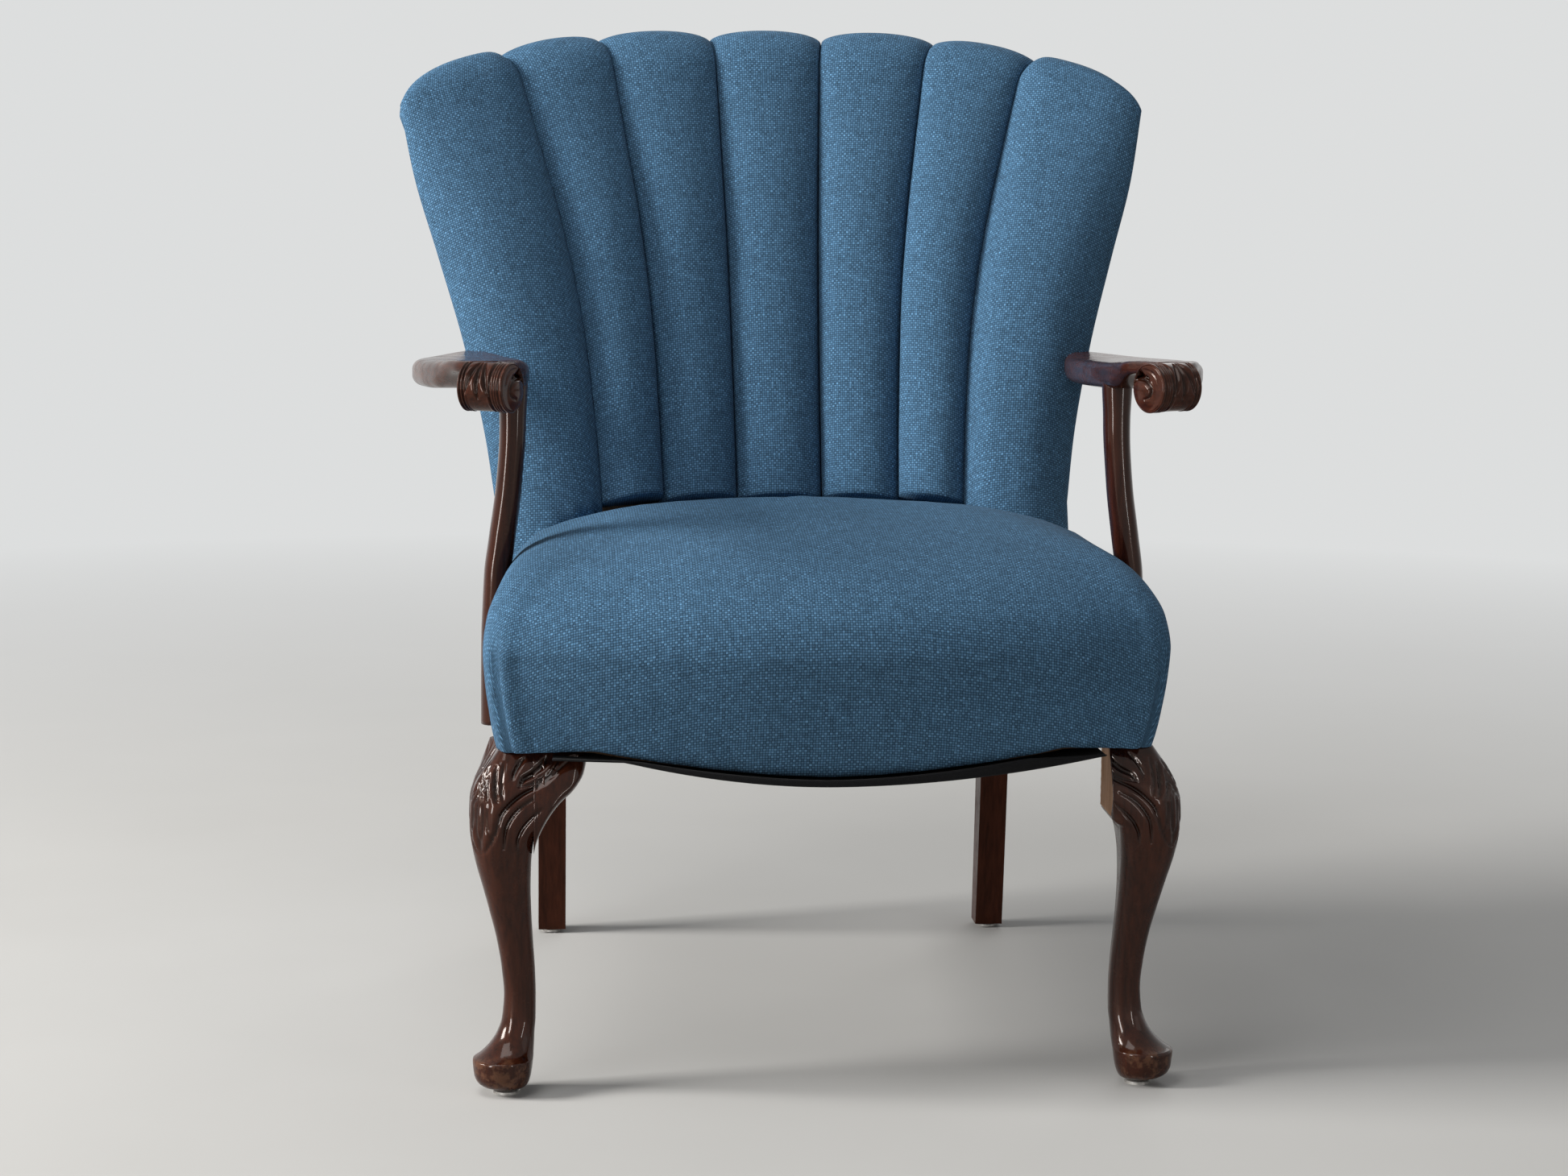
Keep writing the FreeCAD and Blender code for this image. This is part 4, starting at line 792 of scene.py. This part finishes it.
def make_outside_wing(name, side):
    line = np.array([(240, 496, OUT_LOW), *(wing_rear(t) for t in np.linspace(-0.19, 1, 40))])
    line = line[np.argsort(line[:, 2])]
    grid = []
    u = np.linspace(0, 1, 22)
    for z in np.linspace(OUT_LOW, WING_TOP, 60):
        start = np.array([np.interp(z, line[:, 2], line[:, 0]), np.interp(z, line[:, 2], line[:, 1]), z])
        level = min(z, LAP_Z)
        end = np.append(outside_plan(level)[:2] + (1.4, 2.6), level)
        way = unit((end - start) * (1, 1, 0))
        out = np.array([way[1], -way[0], 0]) * math.copysign(1, way[1])
        rim = np.minimum(u, 1 - u) * np.linalg.norm(end - start)
        rim = np.minimum(rim, min(z - OUT_LOW, WING_TOP - z) + 1)
        # fuller beside the wing's top, over the post within
        full = 2.2 + 6 * smoothstep(672, 716, z) * np.exp(-u * 2.4)
        puff = full * (1 - np.exp(-rim / 4))
        row = start + (end - start) * u[:, None] + out * puff[:, None]
        row[:, 2] = z
        grid.append(row)
    grid = np.array(grid)
    mesh = sheet_mesh(name, grid if side > 0 else flipped(grid), 1.8, (-side, -0.3, 0))
    finish_cloth(name + "_panel", mesh, (name,))


make_outside_back()
for end, side in SIDES.items():
    make_outside_wing("outside_wing_" + end, side)


# carving: each line as points in from the leg's centre and up from the floor, half width and depth
KNEE_LINES = [
    ([(-12.6, 279.8), (-17.8, 266.7), (-22.3, 251.1), (-23.7, 236.6), (-23.1, 224.8)], 1.5, 1.7),
    ([(-7.3, 272.2), (-8.8, 264), (-8.8, 254.9), (-7.4, 246)], 2, 2.6),
    ([(-13.3, 268.7), (-16.1, 257.5), (-15.2, 243.4)], 1.6, 2),
    ([(-1.1, 275.4), (-3.2, 266.6), (-3.6, 257.4), (-2.7, 248.2)], 1.4, 1.6),
    ([(16.2, 280.2), (10.4, 274.3), (7.2, 269.1), (5.5, 264.2)], 1.5, 1.8),
    ([(34.8, 281.3), (29.7, 274.2), (23.3, 269), (14.3, 263.8), (11, 258.6)], 2.2, 2.6),
    ([(45.1, 281.2), (40, 272.8), (33.5, 266.3), (23.2, 261.1), (10.4, 257.8)], 1.3, 1.5),
    ([(54.8, 280.6), (42.5, 270.1), (29.7, 261.1), (14.2, 253.3), (3.9, 245.6), (-4.4, 235.1),
      (-7.6, 224.6), (-10.6, 216.8), (-17.4, 204.7)], 1.5, 2),
    ([(24.5, 250), (14.2, 244.1), (5.2, 235), (0, 224.6), (-1.9, 208.1)], 1.4, 1.6),
    ([(29.6, 241.4), (19.3, 232.3), (12.2, 223.1), (9, 213.9), (8.7, 206.7)], 1.4, 1.5),
    ([(-19.1, 254.3), (-19.2, 236.6), (-19.4, 224.8), (-20.8, 212.9), (-19.4, 203.4)], 1.4, 1.5),
    ([(-12.7, 247), (-15.3, 236.5), (-14.7, 226), (-12.4, 217.1)], 1.5, 1.3),
]
CARVE_DEPTH, CARVE_FULL = 1.7, 2.2
# height, how far the leg stands out and in from its centre, and the corners' share of that
LEG_TABLE = np.array([
    (4, 8, 12, 0.48, 0.48),
    (5.2, 15.5, 15, 0.48, 0.48),
    (7.5, 20.6, 17, 0.48, 0.48),
    (11, 24.2, 18.6, 0.48, 0.48),
    (16, 26.2, 20, 0.48, 0.48),
    (22, 27, 21, 0.48, 0.48),
    (27.6, 27.4, 21.6, 0.47, 0.47),
    (29.4, 27, 21.8, 0.47, 0.47),
    (30.6, 24.6, 22, 0.47, 0.47),
    (34, 19.6, 22.2, 0.47, 0.47),
    (40, 13.2, 22.6, 0.46, 0.46),
    (48, 7.6, 23, 0.45, 0.45),
    (60, 3.4, 24, 0.43, 0.43),
    (80, 1.8, 24.2, 0.42, 0.42),
    (100, 3.4, 23.6, 0.42, 0.42),
    (125, 7.2, 22, 0.42, 0.42),
    (150, 13, 20.6, 0.4, 0.42),
    (172, 18.6, 20, 0.36, 0.42),
    (192, 24, 20.4, 0.31, 0.42),
    (210, 27.6, 22, 0.25, 0.42),
    (220, 28.8, 24, 0.18, 0.42),
    (227.5, 29.2, 30.6, 0.07, 0.4),
    (240, 28.6, 31, 0.06, 0.4),
    (254, 25, 31, 0.05, 0.38),
    (266, 18.6, 31, 0.05, 0.34),
    (276, 11.5, 31, 0.05, 0.28),
    (283.7, 6, 31, 0.05, 0.2),
])
LEG_TOP, GLIDE_X = 283.7, 261
POST_HALF, POST_FRONT, POST_LOW, POST_HIGH = 31, 3, 284.2, 345.8
SIDE_POINTS, CORNER_POINTS = 24, 18


def sawn_bevel(z):
    """The rounded lower end of the leg's flat inner face."""
    return 8.5 * smoothstep(246, 228, z)


def leg_plan(inner, outer, corner, front_corner, inner_front=None):
    """A plan ring round a leg's centre: p inwards and q to the front of points going round."""
    size = inner + outer
    front, rear = size * front_corner, size * corner
    inner_front = rear if inner_front is None else inner_front
    parts = []
    for turn, (p, q, radius) in enumerate((
            (front - outer, outer - front, front), (rear - outer, rear - inner, rear),
            (inner - rear, rear - inner, rear), (inner - inner_front, outer - inner_front, inner_front))):
        angles = (turn + 1) * math.pi / 2 + quarter_turn(CORNER_POINTS)
        parts.append(np.stack([p + radius * np.cos(angles), q + radius * np.sin(angles)], 1))
    t = (np.arange(1, SIDE_POINTS) / SIDE_POINTS)[:, None]
    ring = []
    for part, following in zip(parts, parts[1:] + parts[:1]):
        ring += [part, part[-1] + (following[0] - part[-1]) * t]
    return np.concatenate(ring).T


def make_leg(name, side):
    rows = []
    for z in joined_spans((4, 36, 190, LEG_TOP), (50, 86, 150)):
        outer, inner, corner, front = read(LEG_TABLE, z)
        sawn = smoothstep(222, 227, z)
        edge = (inner + outer) * corner * (1 - sawn) + sawn_bevel(z) * sawn + 0.5
        rows.append(spots(*leg_plan(inner, outer, corner, front, edge), z))
    rows = np.array(rows)
    # the carving runs on round the knee: its outer face mirrors the front across the ridge
    normal = unit(np.cross(np.roll(rows, -1, axis=1) - np.roll(rows, 1, axis=1), np.gradient(rows, axis=0)))
    normal *= np.sign((normal * unit(rows * (1, 1, 0))).sum(-1, keepdims=True))
    p, q, z = np.moveaxis(rows, -1, 0)
    outer_face = q < -p
    knee_p, knee_q = np.where(outer_face, -q, p), np.where(outer_face, -p, q)
    carve = (z > 196) & (knee_q > 2)
    depth = np.zeros(p.shape)
    depth[carve] = grooves(knee_p[carve], z[carve], KNEE_LINES) * CARVE_DEPTH
    face = np.where(outer_face, -normal[..., 0], normal[..., 1])
    depth *= smoothstep(0.2, 0.5, face) * smoothstep(2, 10, knee_q)
    rows = rows - normal * depth[..., None]
    # varnish worn through on the front of the pad foot
    z = rows[..., 2]
    to_front = (unit(rows[..., :2]) * (-0.35, 0.93)).sum(-1)
    wear = 0.62 * smoothstep(36, 27, z) * smoothstep(3, 9, z) * smoothstep(0.1, 0.8, to_front)
    # the plain post that stands in the seat frame
    post = leg_plan(POST_HALF, POST_FRONT, 0.04, 0.04)
    rows = np.concatenate([rows, [spots(*post, POST_LOW), spots(*post, POST_HIGH)]])
    p, q, z = np.moveaxis(rows, -1, 0)
    world = spots((GLIDE_X - p) * side, -q, z)
    plain = np.zeros((2, rows.shape[1]))
    # the carving's depth gives the painted shade in its grooves; the foot's wear is real
    marks = [np.concatenate([mark, plain]) for mark in (np.clip(depth / CARVE_FULL, 0, 1), wear)]
    finish_mesh(name + "_carved", ring_mesh(name, world, marks=marks), DARK_WOOD, (name,))


for end, side in SIDES.items():
    make_leg("front_leg_" + end, side)


# knee brackets, whose carving goes on from the leg's: their lower edge, in from the leg's centre
BRACKET_FOOT = np.array([(22, 199), (25, 211), (29, 220.5), (33, 228), (38, 235.5),
                         (45, 243.5), (52, 249.5), (58, 256.5), (62.5, 264), (65, 273)])
BRACKET_IN, BRACKET_OUT, BRACKET_TOP, BRACKET_REAR = 22.3, 65.4, 283.6, -9.5
BRACKET_COLS, BRACKET_ROWS = 84, 36


def make_bracket(name, world_of):
    rings = []
    for p in BRACKET_IN + (BRACKET_OUT - BRACKET_IN) * np.sin(quarter_turn(BRACKET_COLS)):
        low, = read(BRACKET_FOOT, p)
        tip = math.sqrt(max(0, 1 - (max(p - 52, 0) / 13.5) ** 2))
        z = low + (BRACKET_TOP - low) * (1 - np.cos(quarter_turn(BRACKET_ROWS)))
        front = read(LEG_TABLE, z)[0]
        near = smoothstep(34, 62, p)
        front = front * (1 - near) + (11 + front * 0.42) * near
        rim = np.sqrt(np.clip(1 - (1 - np.clip((z - low) / 9, 0, 1)) ** 2, 0, 1))
        q = BRACKET_REAR + (front + 0.3 - BRACKET_REAR) * (0.42 + 0.58 * rim) * (0.45 + 0.55 * tip)
        ring_q = np.append(q, np.full(BRACKET_ROWS, BRACKET_REAR))
        rings.append(spots(p, ring_q, np.append(z, z[::-1])))
    rings = np.array(rings)
    face = rings[:, :BRACKET_ROWS]
    depth = grooves(face[..., 0], face[..., 2], KNEE_LINES) * CARVE_DEPTH
    face[..., 1] -= depth
    # painted shade in the carved grooves, deeper cuts darker
    carving_shade = np.zeros(rings.shape[:2])
    carving_shade[:, :BRACKET_ROWS] = np.clip(depth / CARVE_FULL, 0, 1)
    p, q, z = np.moveaxis(rings, -1, 0)
    mesh = ring_mesh(name, spots(*world_of(p, q, z)), marks=(carving_shade, carving_shade * 0))
    finish_mesh(name + "_carved", mesh, DARK_WOOD, (name,))


# where one bracket is lost, the leg's sawn face shows
def make_sawn_face():
    grid = []
    for z in np.linspace(229, 283.2, 24):
        q = np.linspace(-28.5, read(LEG_TABLE, z)[0] - 1.2 - sawn_bevel(z), 20)
        x = GLIDE_X - 31.15 - 0.12 * np.sin(z * 0.9 + q * 0.35)
        grid.append(spots(x, -q, z))
    mesh = sheet_mesh("front_leg_right_sawn_face", np.array(grid), 0.4, (1, 0, 0))
    finish_mesh("front_leg_right_sawn_face", mesh, RAW_WOOD)


make_sawn_face()
make_bracket("knee_block_front_left", lambda p, q, z: (p - GLIDE_X, -q, z))
for end, side in SIDES.items():
    make_bracket("knee_block_side_" + end, lambda p, q, z: (side * (GLIDE_X + q), p, z))


# arms: a bowed paddle with its rolled and carved hand
ARM_FRONT_Y, ARM_BOW_Y, ARM_REAR_Y, ARM_FRONT_TOP, ARM_THICK = 10, 232, 487.8, 597, 22
ARM_NOSE, ARM_NOSE_Y, ARM_ROUND = 22, ARM_FRONT_Y - 6, 8.5
ARM_OUTER = arc((296, ARM_FRONT_Y), (338, ARM_BOW_Y), (300, ARM_REAR_Y), 80)
ARM_INNER = arc((247, ARM_FRONT_Y), (240, ARM_BOW_Y), (271, ARM_REAR_Y), 80)
# height of the arm's top along it: it falls off quickly behind the hand
ARM_TOP_LINE = np.array([(4, 597), (35, 595.4), (70, 592.2), (120, 587.6), (180, 583.6),
                         (232, 580.2), (300, 575.8), (350, 572.8), (400, 570.4), (487.8, 567.6)])
SCROLL_X, SCROLL_R, SCROLL_TURN, SCROLL_LENGTH = 272, 20, 28, 40
# turned rings: share along the roll from its inner end, half width, depth
ROLL_RINGS = [(0.085, 0.8, 1.2), (0.145, 0.55, 0.8), (0.2, 0.55, 0.8), (0.285, 1.2, 2),
              (0.865, 0.9, 1.7), (0.935, 0.8, 1.5)]
# leaf gouges: share along, lean, half width, depth, middle angle and half span in degrees
ROLL_GOUGES = [(0.42, 0.1, 2.2, 2.8, 30, 48), (0.575, 0.02, 2.1, 3, 26, 54),
               (0.735, -0.09, 2.2, 2.8, 32, 48)]
# the hooked cut of the volute, forward and up from the middle of the roll's inner end
VOLUTE = [([(-19.5, 2.6), (-13, 6.4), (-7.2, 6.6), (-2, 5.2), (1.8, 2.9), (4.4, 0.4), (5.2, -2),
            (4.6, -4.8), (2.6, -7.2), (-2, -9.2)], 1.3, 2.8),
          ([(-24, 9.4), (-18, 9.8), (-12, 9.9), (-7, 9.2)], 3, 7),
          ([(-7, 9.2), (-2.5, 8), (1.5, 5.6)], 1.7, 3.4),
          ([(-8, 15), (0, 14.2), (8, 10.6), (12.6, 3)], 0.9, 0.8)]
# leaf on top of the hand: across from its middle line and back from its front
TOP_LEAF = [([(0, 14), (1, 34), (0, 56), (-4, 84)], 1.1, 1.5),
            ([(-15, 18), (-17, 36), (-14, 56), (-4, 84)], 1.2, 1.5),
            ([(15, 18), (16, 36), (11, 58), (-4, 84)], 1.2, 1.5),
            ([(0, 24), (-6, 33), (-10, 46)], 1.2, 1.4), ([(0, 24), (7, 33), (10, 46)], 1.2, 1.4),
            ([(0, 42), (-5, 51), (-8, 62)], 1.1, 1.2), ([(0, 42), (5, 50), (7, 60)], 1.1, 1.2),
            ([(-9, 20), (-11, 28), (-12, 38)], 1, 1.2), ([(9, 20), (11, 28), (12, 38)], 1, 1.2)]
LEAF_X, TOP_POINTS = 270, 70


def arm_slab():
    """The paddle's rings and their marks."""
    rings = []
    swing = quarter_turn(12)
    nose = ARM_NOSE_Y + ARM_NOSE * (1 - np.cos(quarter_turn(16)[:-1]))
    run = joined_spans((ARM_NOSE_Y + ARM_NOSE, 110, ARM_REAR_Y), (66, 90))
    for y in np.concatenate([nose, run]):
        outer, inner = (np.interp(max(y, ARM_FRONT_Y), line[:, 1], line[:, 0])
                        for line in (ARM_OUTER, ARM_INNER))
        inner += 9 * smoothstep(56, 12, y)
        close = math.sqrt(max(0, 1 - (1 - min(1, (y - ARM_NOSE_Y) / ARM_NOSE)) ** 2))
        thick = ARM_THICK * (0.75 + 0.25 * close) - 12 * smoothstep(92, 34, y)
        half_width = (outer - inner) / 2 - 9 * (1 - close)
        r = min(ARM_ROUND, thick * 0.46)
        flat = np.linspace(-1, 1, TOP_POINTS + 2)[1:-1] * (half_width - r)
        below = flat[::-2]
        edge = np.concatenate([
            np.stack([half_width - r + r * np.sin(swing), r * np.cos(swing) - r], 1),
            np.stack([half_width - r + r * np.cos(swing), -thick + r - r * np.sin(swing)], 1)])
        across, up = np.concatenate([
            np.stack([flat, 0.5 * (1 - (flat / half_width) ** 2)], 1), edge,
            np.stack([below, np.full(len(below), -thick)], 1), edge[::-1] * (-1, 1)]).T
        top, = read(ARM_TOP_LINE, y)
        rings.append(spots((outer + inner) / 2 + across, y, top + up))
    rings = np.array(rings)
    top = rings[:, :TOP_POINTS]
    cut = grooves(top[..., 0] - LEAF_X, top[..., 1] - ARM_FRONT_Y, TOP_LEAF)
    top[..., 2] -= cut
    # painted shade in the leaf carving on top of the hand
    carving_shade = np.zeros(rings.shape[:2])
    carving_shade[:, :TOP_POINTS] = np.clip(cut / 1.6, 0, 1)
    return rings, carving_shade, 0.16 * smoothstep(290, 322, rings[..., 0])


def arm_roll():
    """The roll as rings round its axis, and their marks."""
    turn = math.radians(SCROLL_TURN)
    way = np.array([math.cos(turn), math.sin(turn), 0])
    front_way, up = np.array([math.sin(turn), -math.cos(turn), 0]), np.array([0, 0, 1])
    centre = np.array([SCROLL_X, 0, ARM_FRONT_TOP - SCROLL_R])
    angle = np.linspace(0, 2 * math.pi, 180, endpoint=False)
    forward, rise = np.cos(angle), np.sin(angle)
    degrees = np.degrees((angle + math.pi) % (2 * math.pi) - math.pi)
    caps = np.concatenate([np.linspace(0.02, 0.9, 30), [0.94, 0.97, 0.99]])
    inner_end = [(0, share) for share in caps]
    barrel = [(s, 1) for s in np.linspace(0, 1, 130)]
    outer_end = [(1, share) for share in caps[::-1]]
    # painted shade gathers in the roll's turned rings, leaf gouges and volute cut, deeper cuts darker
    rows, roll_shades = [], []
    for s, share in inner_end + barrel + outer_end:
        shift, roll_shade = np.zeros((2, len(angle)))
        radius = shift + SCROLL_R
        if share == 1:
            for at, width, deep in ROLL_RINGS:
                cut = deep * math.exp(-((s - at) * SCROLL_LENGTH / width) ** 2)
                radius -= cut
                roll_shade += cut / 2
            for at, lean, width, deep, middle, span in ROLL_GOUGES:
                swing = (degrees - middle) / span
                wide = np.clip(1 - swing ** 2, 0, 1)
                gap = (s - at - lean * swing) * SCROLL_LENGTH
                cut = deep * wide ** 0.6 * np.exp(-(gap / (width * (0.3 + 0.7 * wide))) ** 2)
                radius -= cut
                roll_shade += cut / 2.6
            # the plain lower half stands a little behind the carved leaf
            leafed = smoothstep(0.31, 0.36, s) * smoothstep(0.83, 0.79, s)
            radius -= 0.7 * smoothstep(-12, -20, degrees) * leafed
            radius -= 1.2 * (1 - np.minimum(1, min(s, 1 - s) * SCROLL_LENGTH / 1.2)) ** 2
        else:
            r = share * SCROLL_R
            radius[:] = min(r, SCROLL_R - 1.2)
            if s < 0.5:
                u, v = forward * r, rise * r
                cut = grooves(u, v, VOLUTE)
                shift += cut - 2.6 * np.clip(1 - (np.hypot(u + 4.5, v + 4.5) / 14) ** 2, 0, 1)
                roll_shade += cut / 2.4
            else:
                cut = 1.3 * math.exp(-((r - 13.5) / 1.1) ** 2)
                shift += cut - 1.8 * (1 - share * share)
                roll_shade += cut / 1.6
            shift += 1.5 * smoothstep(0.9, 1, share)
        inward = 1 if s < 0.5 else -1
        run = (s - 0.5) * SCROLL_LENGTH + shift * inward
        rows.append(centre + way * run[:, None] + front_way * (forward * radius)[:, None]
                    + up * (rise * radius)[:, None])
        roll_shades.append(np.clip(roll_shade, 0, 1))
    rings, carving_shade = np.array(rows), np.array(roll_shades)
    return rings, carving_shade, carving_shade * 0


def make_arm(name, side):
    both = bmesh.new()
    for rings, *marks in (arm_slab(), arm_roll()):
        mesh = ring_mesh(name, rings if side > 0 else flipped(rings), marks=marks)
        both.from_mesh(mesh)
    both.to_mesh(mesh)
    both.free()
    finish_mesh(name + "_carved", mesh, ARM_WOOD, (name,))


# the S-bent posts: height, x
POST_LINE = np.array([(284, 268.6), (352.9, 268.3), (409.2, 266.4), (440.5, 262.4), (484.3, 256.7),
                      (534.4, 253.3), (575, 253)])
POST_Y, POST_WIDTH, POST_DEPTH, POST_FOOT, POST_HEAD = 120, 22.6, 30.6, 284.4, 570


def make_post(name, side):
    angle = np.linspace(0, 2 * math.pi, 72, endpoint=False)
    across, back = np.cos(angle), np.sin(angle)
    across = np.sign(across) * np.abs(across) ** 0.72 * POST_WIDTH / 2
    back = np.sign(back) * np.abs(back) ** 0.86 * POST_DEPTH / 2
    rings = []
    for z in np.linspace(POST_FOOT, POST_HEAD, 96):
        x, = read(POST_LINE, z)
        swell = (1 + 0.1 * smoothstep(540, POST_HEAD, z) + 0.06 * smoothstep(400, 340, z)
                 - 0.05 * math.exp(-((z - 500) / 40) ** 2))
        rings.append(spots(side * (x + across * swell), POST_Y + back, z))
    rings = np.array(rings)
    mesh = ring_mesh(name, rings, marks=np.zeros((2, *rings.shape[:2])))
    finish_mesh(name + "_shaped", mesh, DARK_WOOD, (name,))


for end, side in SIDES.items():
    make_arm("arm_" + end, side)
for end, side in SIDES.items():
    make_post("arm_post_" + end, side)


# black cloth under the seat: how far each of its first rows is drawn forward, and its fall to the lip
COVER_TURN = ((0.4, 0), (1, 0.35), (0.8, 0.8), (0, 1))
COVER_FRONT, COVER_REAR, COVER_LEVEL, COVER_END = 224, 194, 281, 524


def make_dust_cover():
    rows, cols = 44, 64
    turned = len(COVER_TURN)
    grid = np.zeros((rows, cols, 3))
    for c, u in enumerate(np.linspace(-1, 1, cols)):
        for r, v in enumerate(np.concatenate([np.zeros(turned), np.linspace(0, 1, rows + 1 - turned)[1:]])):
            x = (COVER_FRONT + (COVER_REAR - COVER_FRONT) * v) * u
            front = -54 + 29.5 * (x / 239) ** 2
            y = front + (COVER_END - front) * v
            hem = min(hem_height(x), 283) - 1.2
            lip = min(lip_height(x), COVER_LEVEL, hem - 0.3)
            if r < turned:
                forward, fall = COVER_TURN[r]
                grid[r, c] = (x, y - forward, hem + (lip - hem) * fall)
            else:
                sag = 5 * math.sin(math.pi * v) ** 0.6 * (1 - u ** 4)
                grid[r, c] = (x, y, lip + (COVER_LEVEL - lip) * smoothstep(0, 0.12, v) - sag)
    mesh = sheet_mesh("underside_cloth_sheet", grid, 0.7, (0, 0, -1))
    return finish_mesh("underside_cloth_sheet", mesh, BLACK, ("dust_cover",))


make_dust_cover()


# materials of the solids that stay as they are
for (material, slot), names in {
    (RED_WOOD, "rear_leg_wood"): ("rear_leg_right", "rear_leg_left"),
    (GLIDE, "glide_metal"): ("front_glides", "rear_glides"),
    (RAW_WOOD, "frame_wood"): (
        "front_rail", "side_rail_right", "side_rail_left", "back_rail", "corner_blocks", "crest_rail",
        "lower_back_rail", "wing_post_right", "wing_post_left"),
    (SCREW, "screw_steel"): ("corner_block_screws", "arm_screws", "arm_post_screws"),
    (STEEL, "spring_steel"): ("seat_springs",),
    (JUTE, "jute"): ("seat_webbing",),
    (BACK_JUTE, "jute"): ("back_webbing",),
}.items():
    for name in names:
        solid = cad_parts[name]
        solid.data.materials.clear()
        solid.data.materials.append(material)


# floor, lights and world, in metres
BACKDROP, FILL = (0.72, 0.73, 0.73), (0.93, 0.96, 1)
FLOOR_SIZE, FLOOR_TONES = 40.0, ((0.52, 0.51, 0.49), (0.57, 0.56, 0.54))
# place, aim, width and height, power and colour. The tall panes show in the varnish alone.
LAMPS = {
    "key": ((-4.9, -0.5, 2.75), (0, 0, 0.5), (1.7, 1.7), 385, (1, 0.99, 0.97)),
    "top": ((-0.9, -0.9, 2.9), (0, 0, 0.4), (1.4, 1.4), 28, (1, 1, 1)),
    "pane_left": ((-2.1, -2.2, 0.95), (0, 0, 0.45), (0.5, 1.7), 75, (1, 1, 1)),
    "pane_right": ((1.15, -2.7, 0.9), (0, 0, 0.45), (0.12, 1.5), 14, (1, 1, 1)),
    "side": ((2.4, -1.8, 1.6), (0, 0, 0.5), (1.6, 1.6), 4, (1, 1, 1)),
    "rear": ((1.2, 2.8, 2.2), (0, 0.1, 0.5), (1.8, 1.8), 16, (1, 1, 1)),
}


def seen_rays(graph, *kinds):
    """1 on rays of any of the kinds."""
    outputs = graph.node("LightPath").outputs
    seen = outputs[kinds[0]]
    for kind in kinds[1:]:
        seen = graph.calc("MAXIMUM", seen, outputs[kind])
    return seen


def make_stage():
    material, graph, shader = new_material("pale_floor")
    place = graph.node("TexCoord").outputs["Object"]
    graph.put(shader.inputs["Base Color"], graph.mix_colour(graph.noise(place, 3, 3), *FLOOR_TONES))
    shader.inputs["Roughness"].default_value = 0.8
    # far off the floor takes the backdrop's own colour, so no horizon shows
    away = graph.node("VectorMath", {0: place}, operation="LENGTH").outputs["Value"]
    far = graph.times(graph.ramp(away, 0.9, 3.2), seen_rays(graph, "Is Camera Ray", "Is Glossy Ray"))
    glow = graph.node("Emission", {0: BACKDROP, 1: 1})
    both = graph.node("MixShader", {0: far, 1: shader.outputs[0], 2: glow.outputs[0]})
    graph.put(graph.tree.nodes["Material Output"].inputs["Surface"], both.outputs[0])
    mesh = bpy.data.meshes.new("floor")
    corners = [(x * FLOOR_SIZE, y * FLOOR_SIZE, 0) for x, y in ((-1, -1), (1, -1), (1, 1), (-1, 1))]
    mesh.from_pydata(corners, [], [(0, 1, 2, 3)])
    mesh.materials.append(material)
    linked("floor", mesh)

    world = bpy.data.worlds.new("studio")
    bpy.context.scene.world = world
    world.use_nodes = True
    graph = Graph(world.node_tree)
    seen = seen_rays(graph, "Is Camera Ray", "Is Glossy Ray", "Is Transmission Ray")
    fill, wall = (graph.node("Background", {0: colour, 1: strength}).outputs[0]
                  for colour, strength in ((FILL, 0.14), (BACKDROP, 1)))
    both = graph.node("MixShader", {0: seen, 1: fill, 2: wall})
    graph.node("OutputWorld", {0: both.outputs[0]})

    for name, (place, aim, size, power, colour) in LAMPS.items():
        light = bpy.data.lights.new(name, "AREA")
        light.shape, light.size, light.size_y = "RECTANGLE", *size
        light.energy, light.color = power, colour
        lamp = linked(name, light)
        lamp.location = place
        lamp.rotation_euler = (Vector(aim) - Vector(place)).to_track_quat("-Z", "Y").to_euler()
        lamp.visible_diffuse = not name.startswith("pane")


make_stage()

bpy.context.scene.view_settings.view_transform = "Standard"
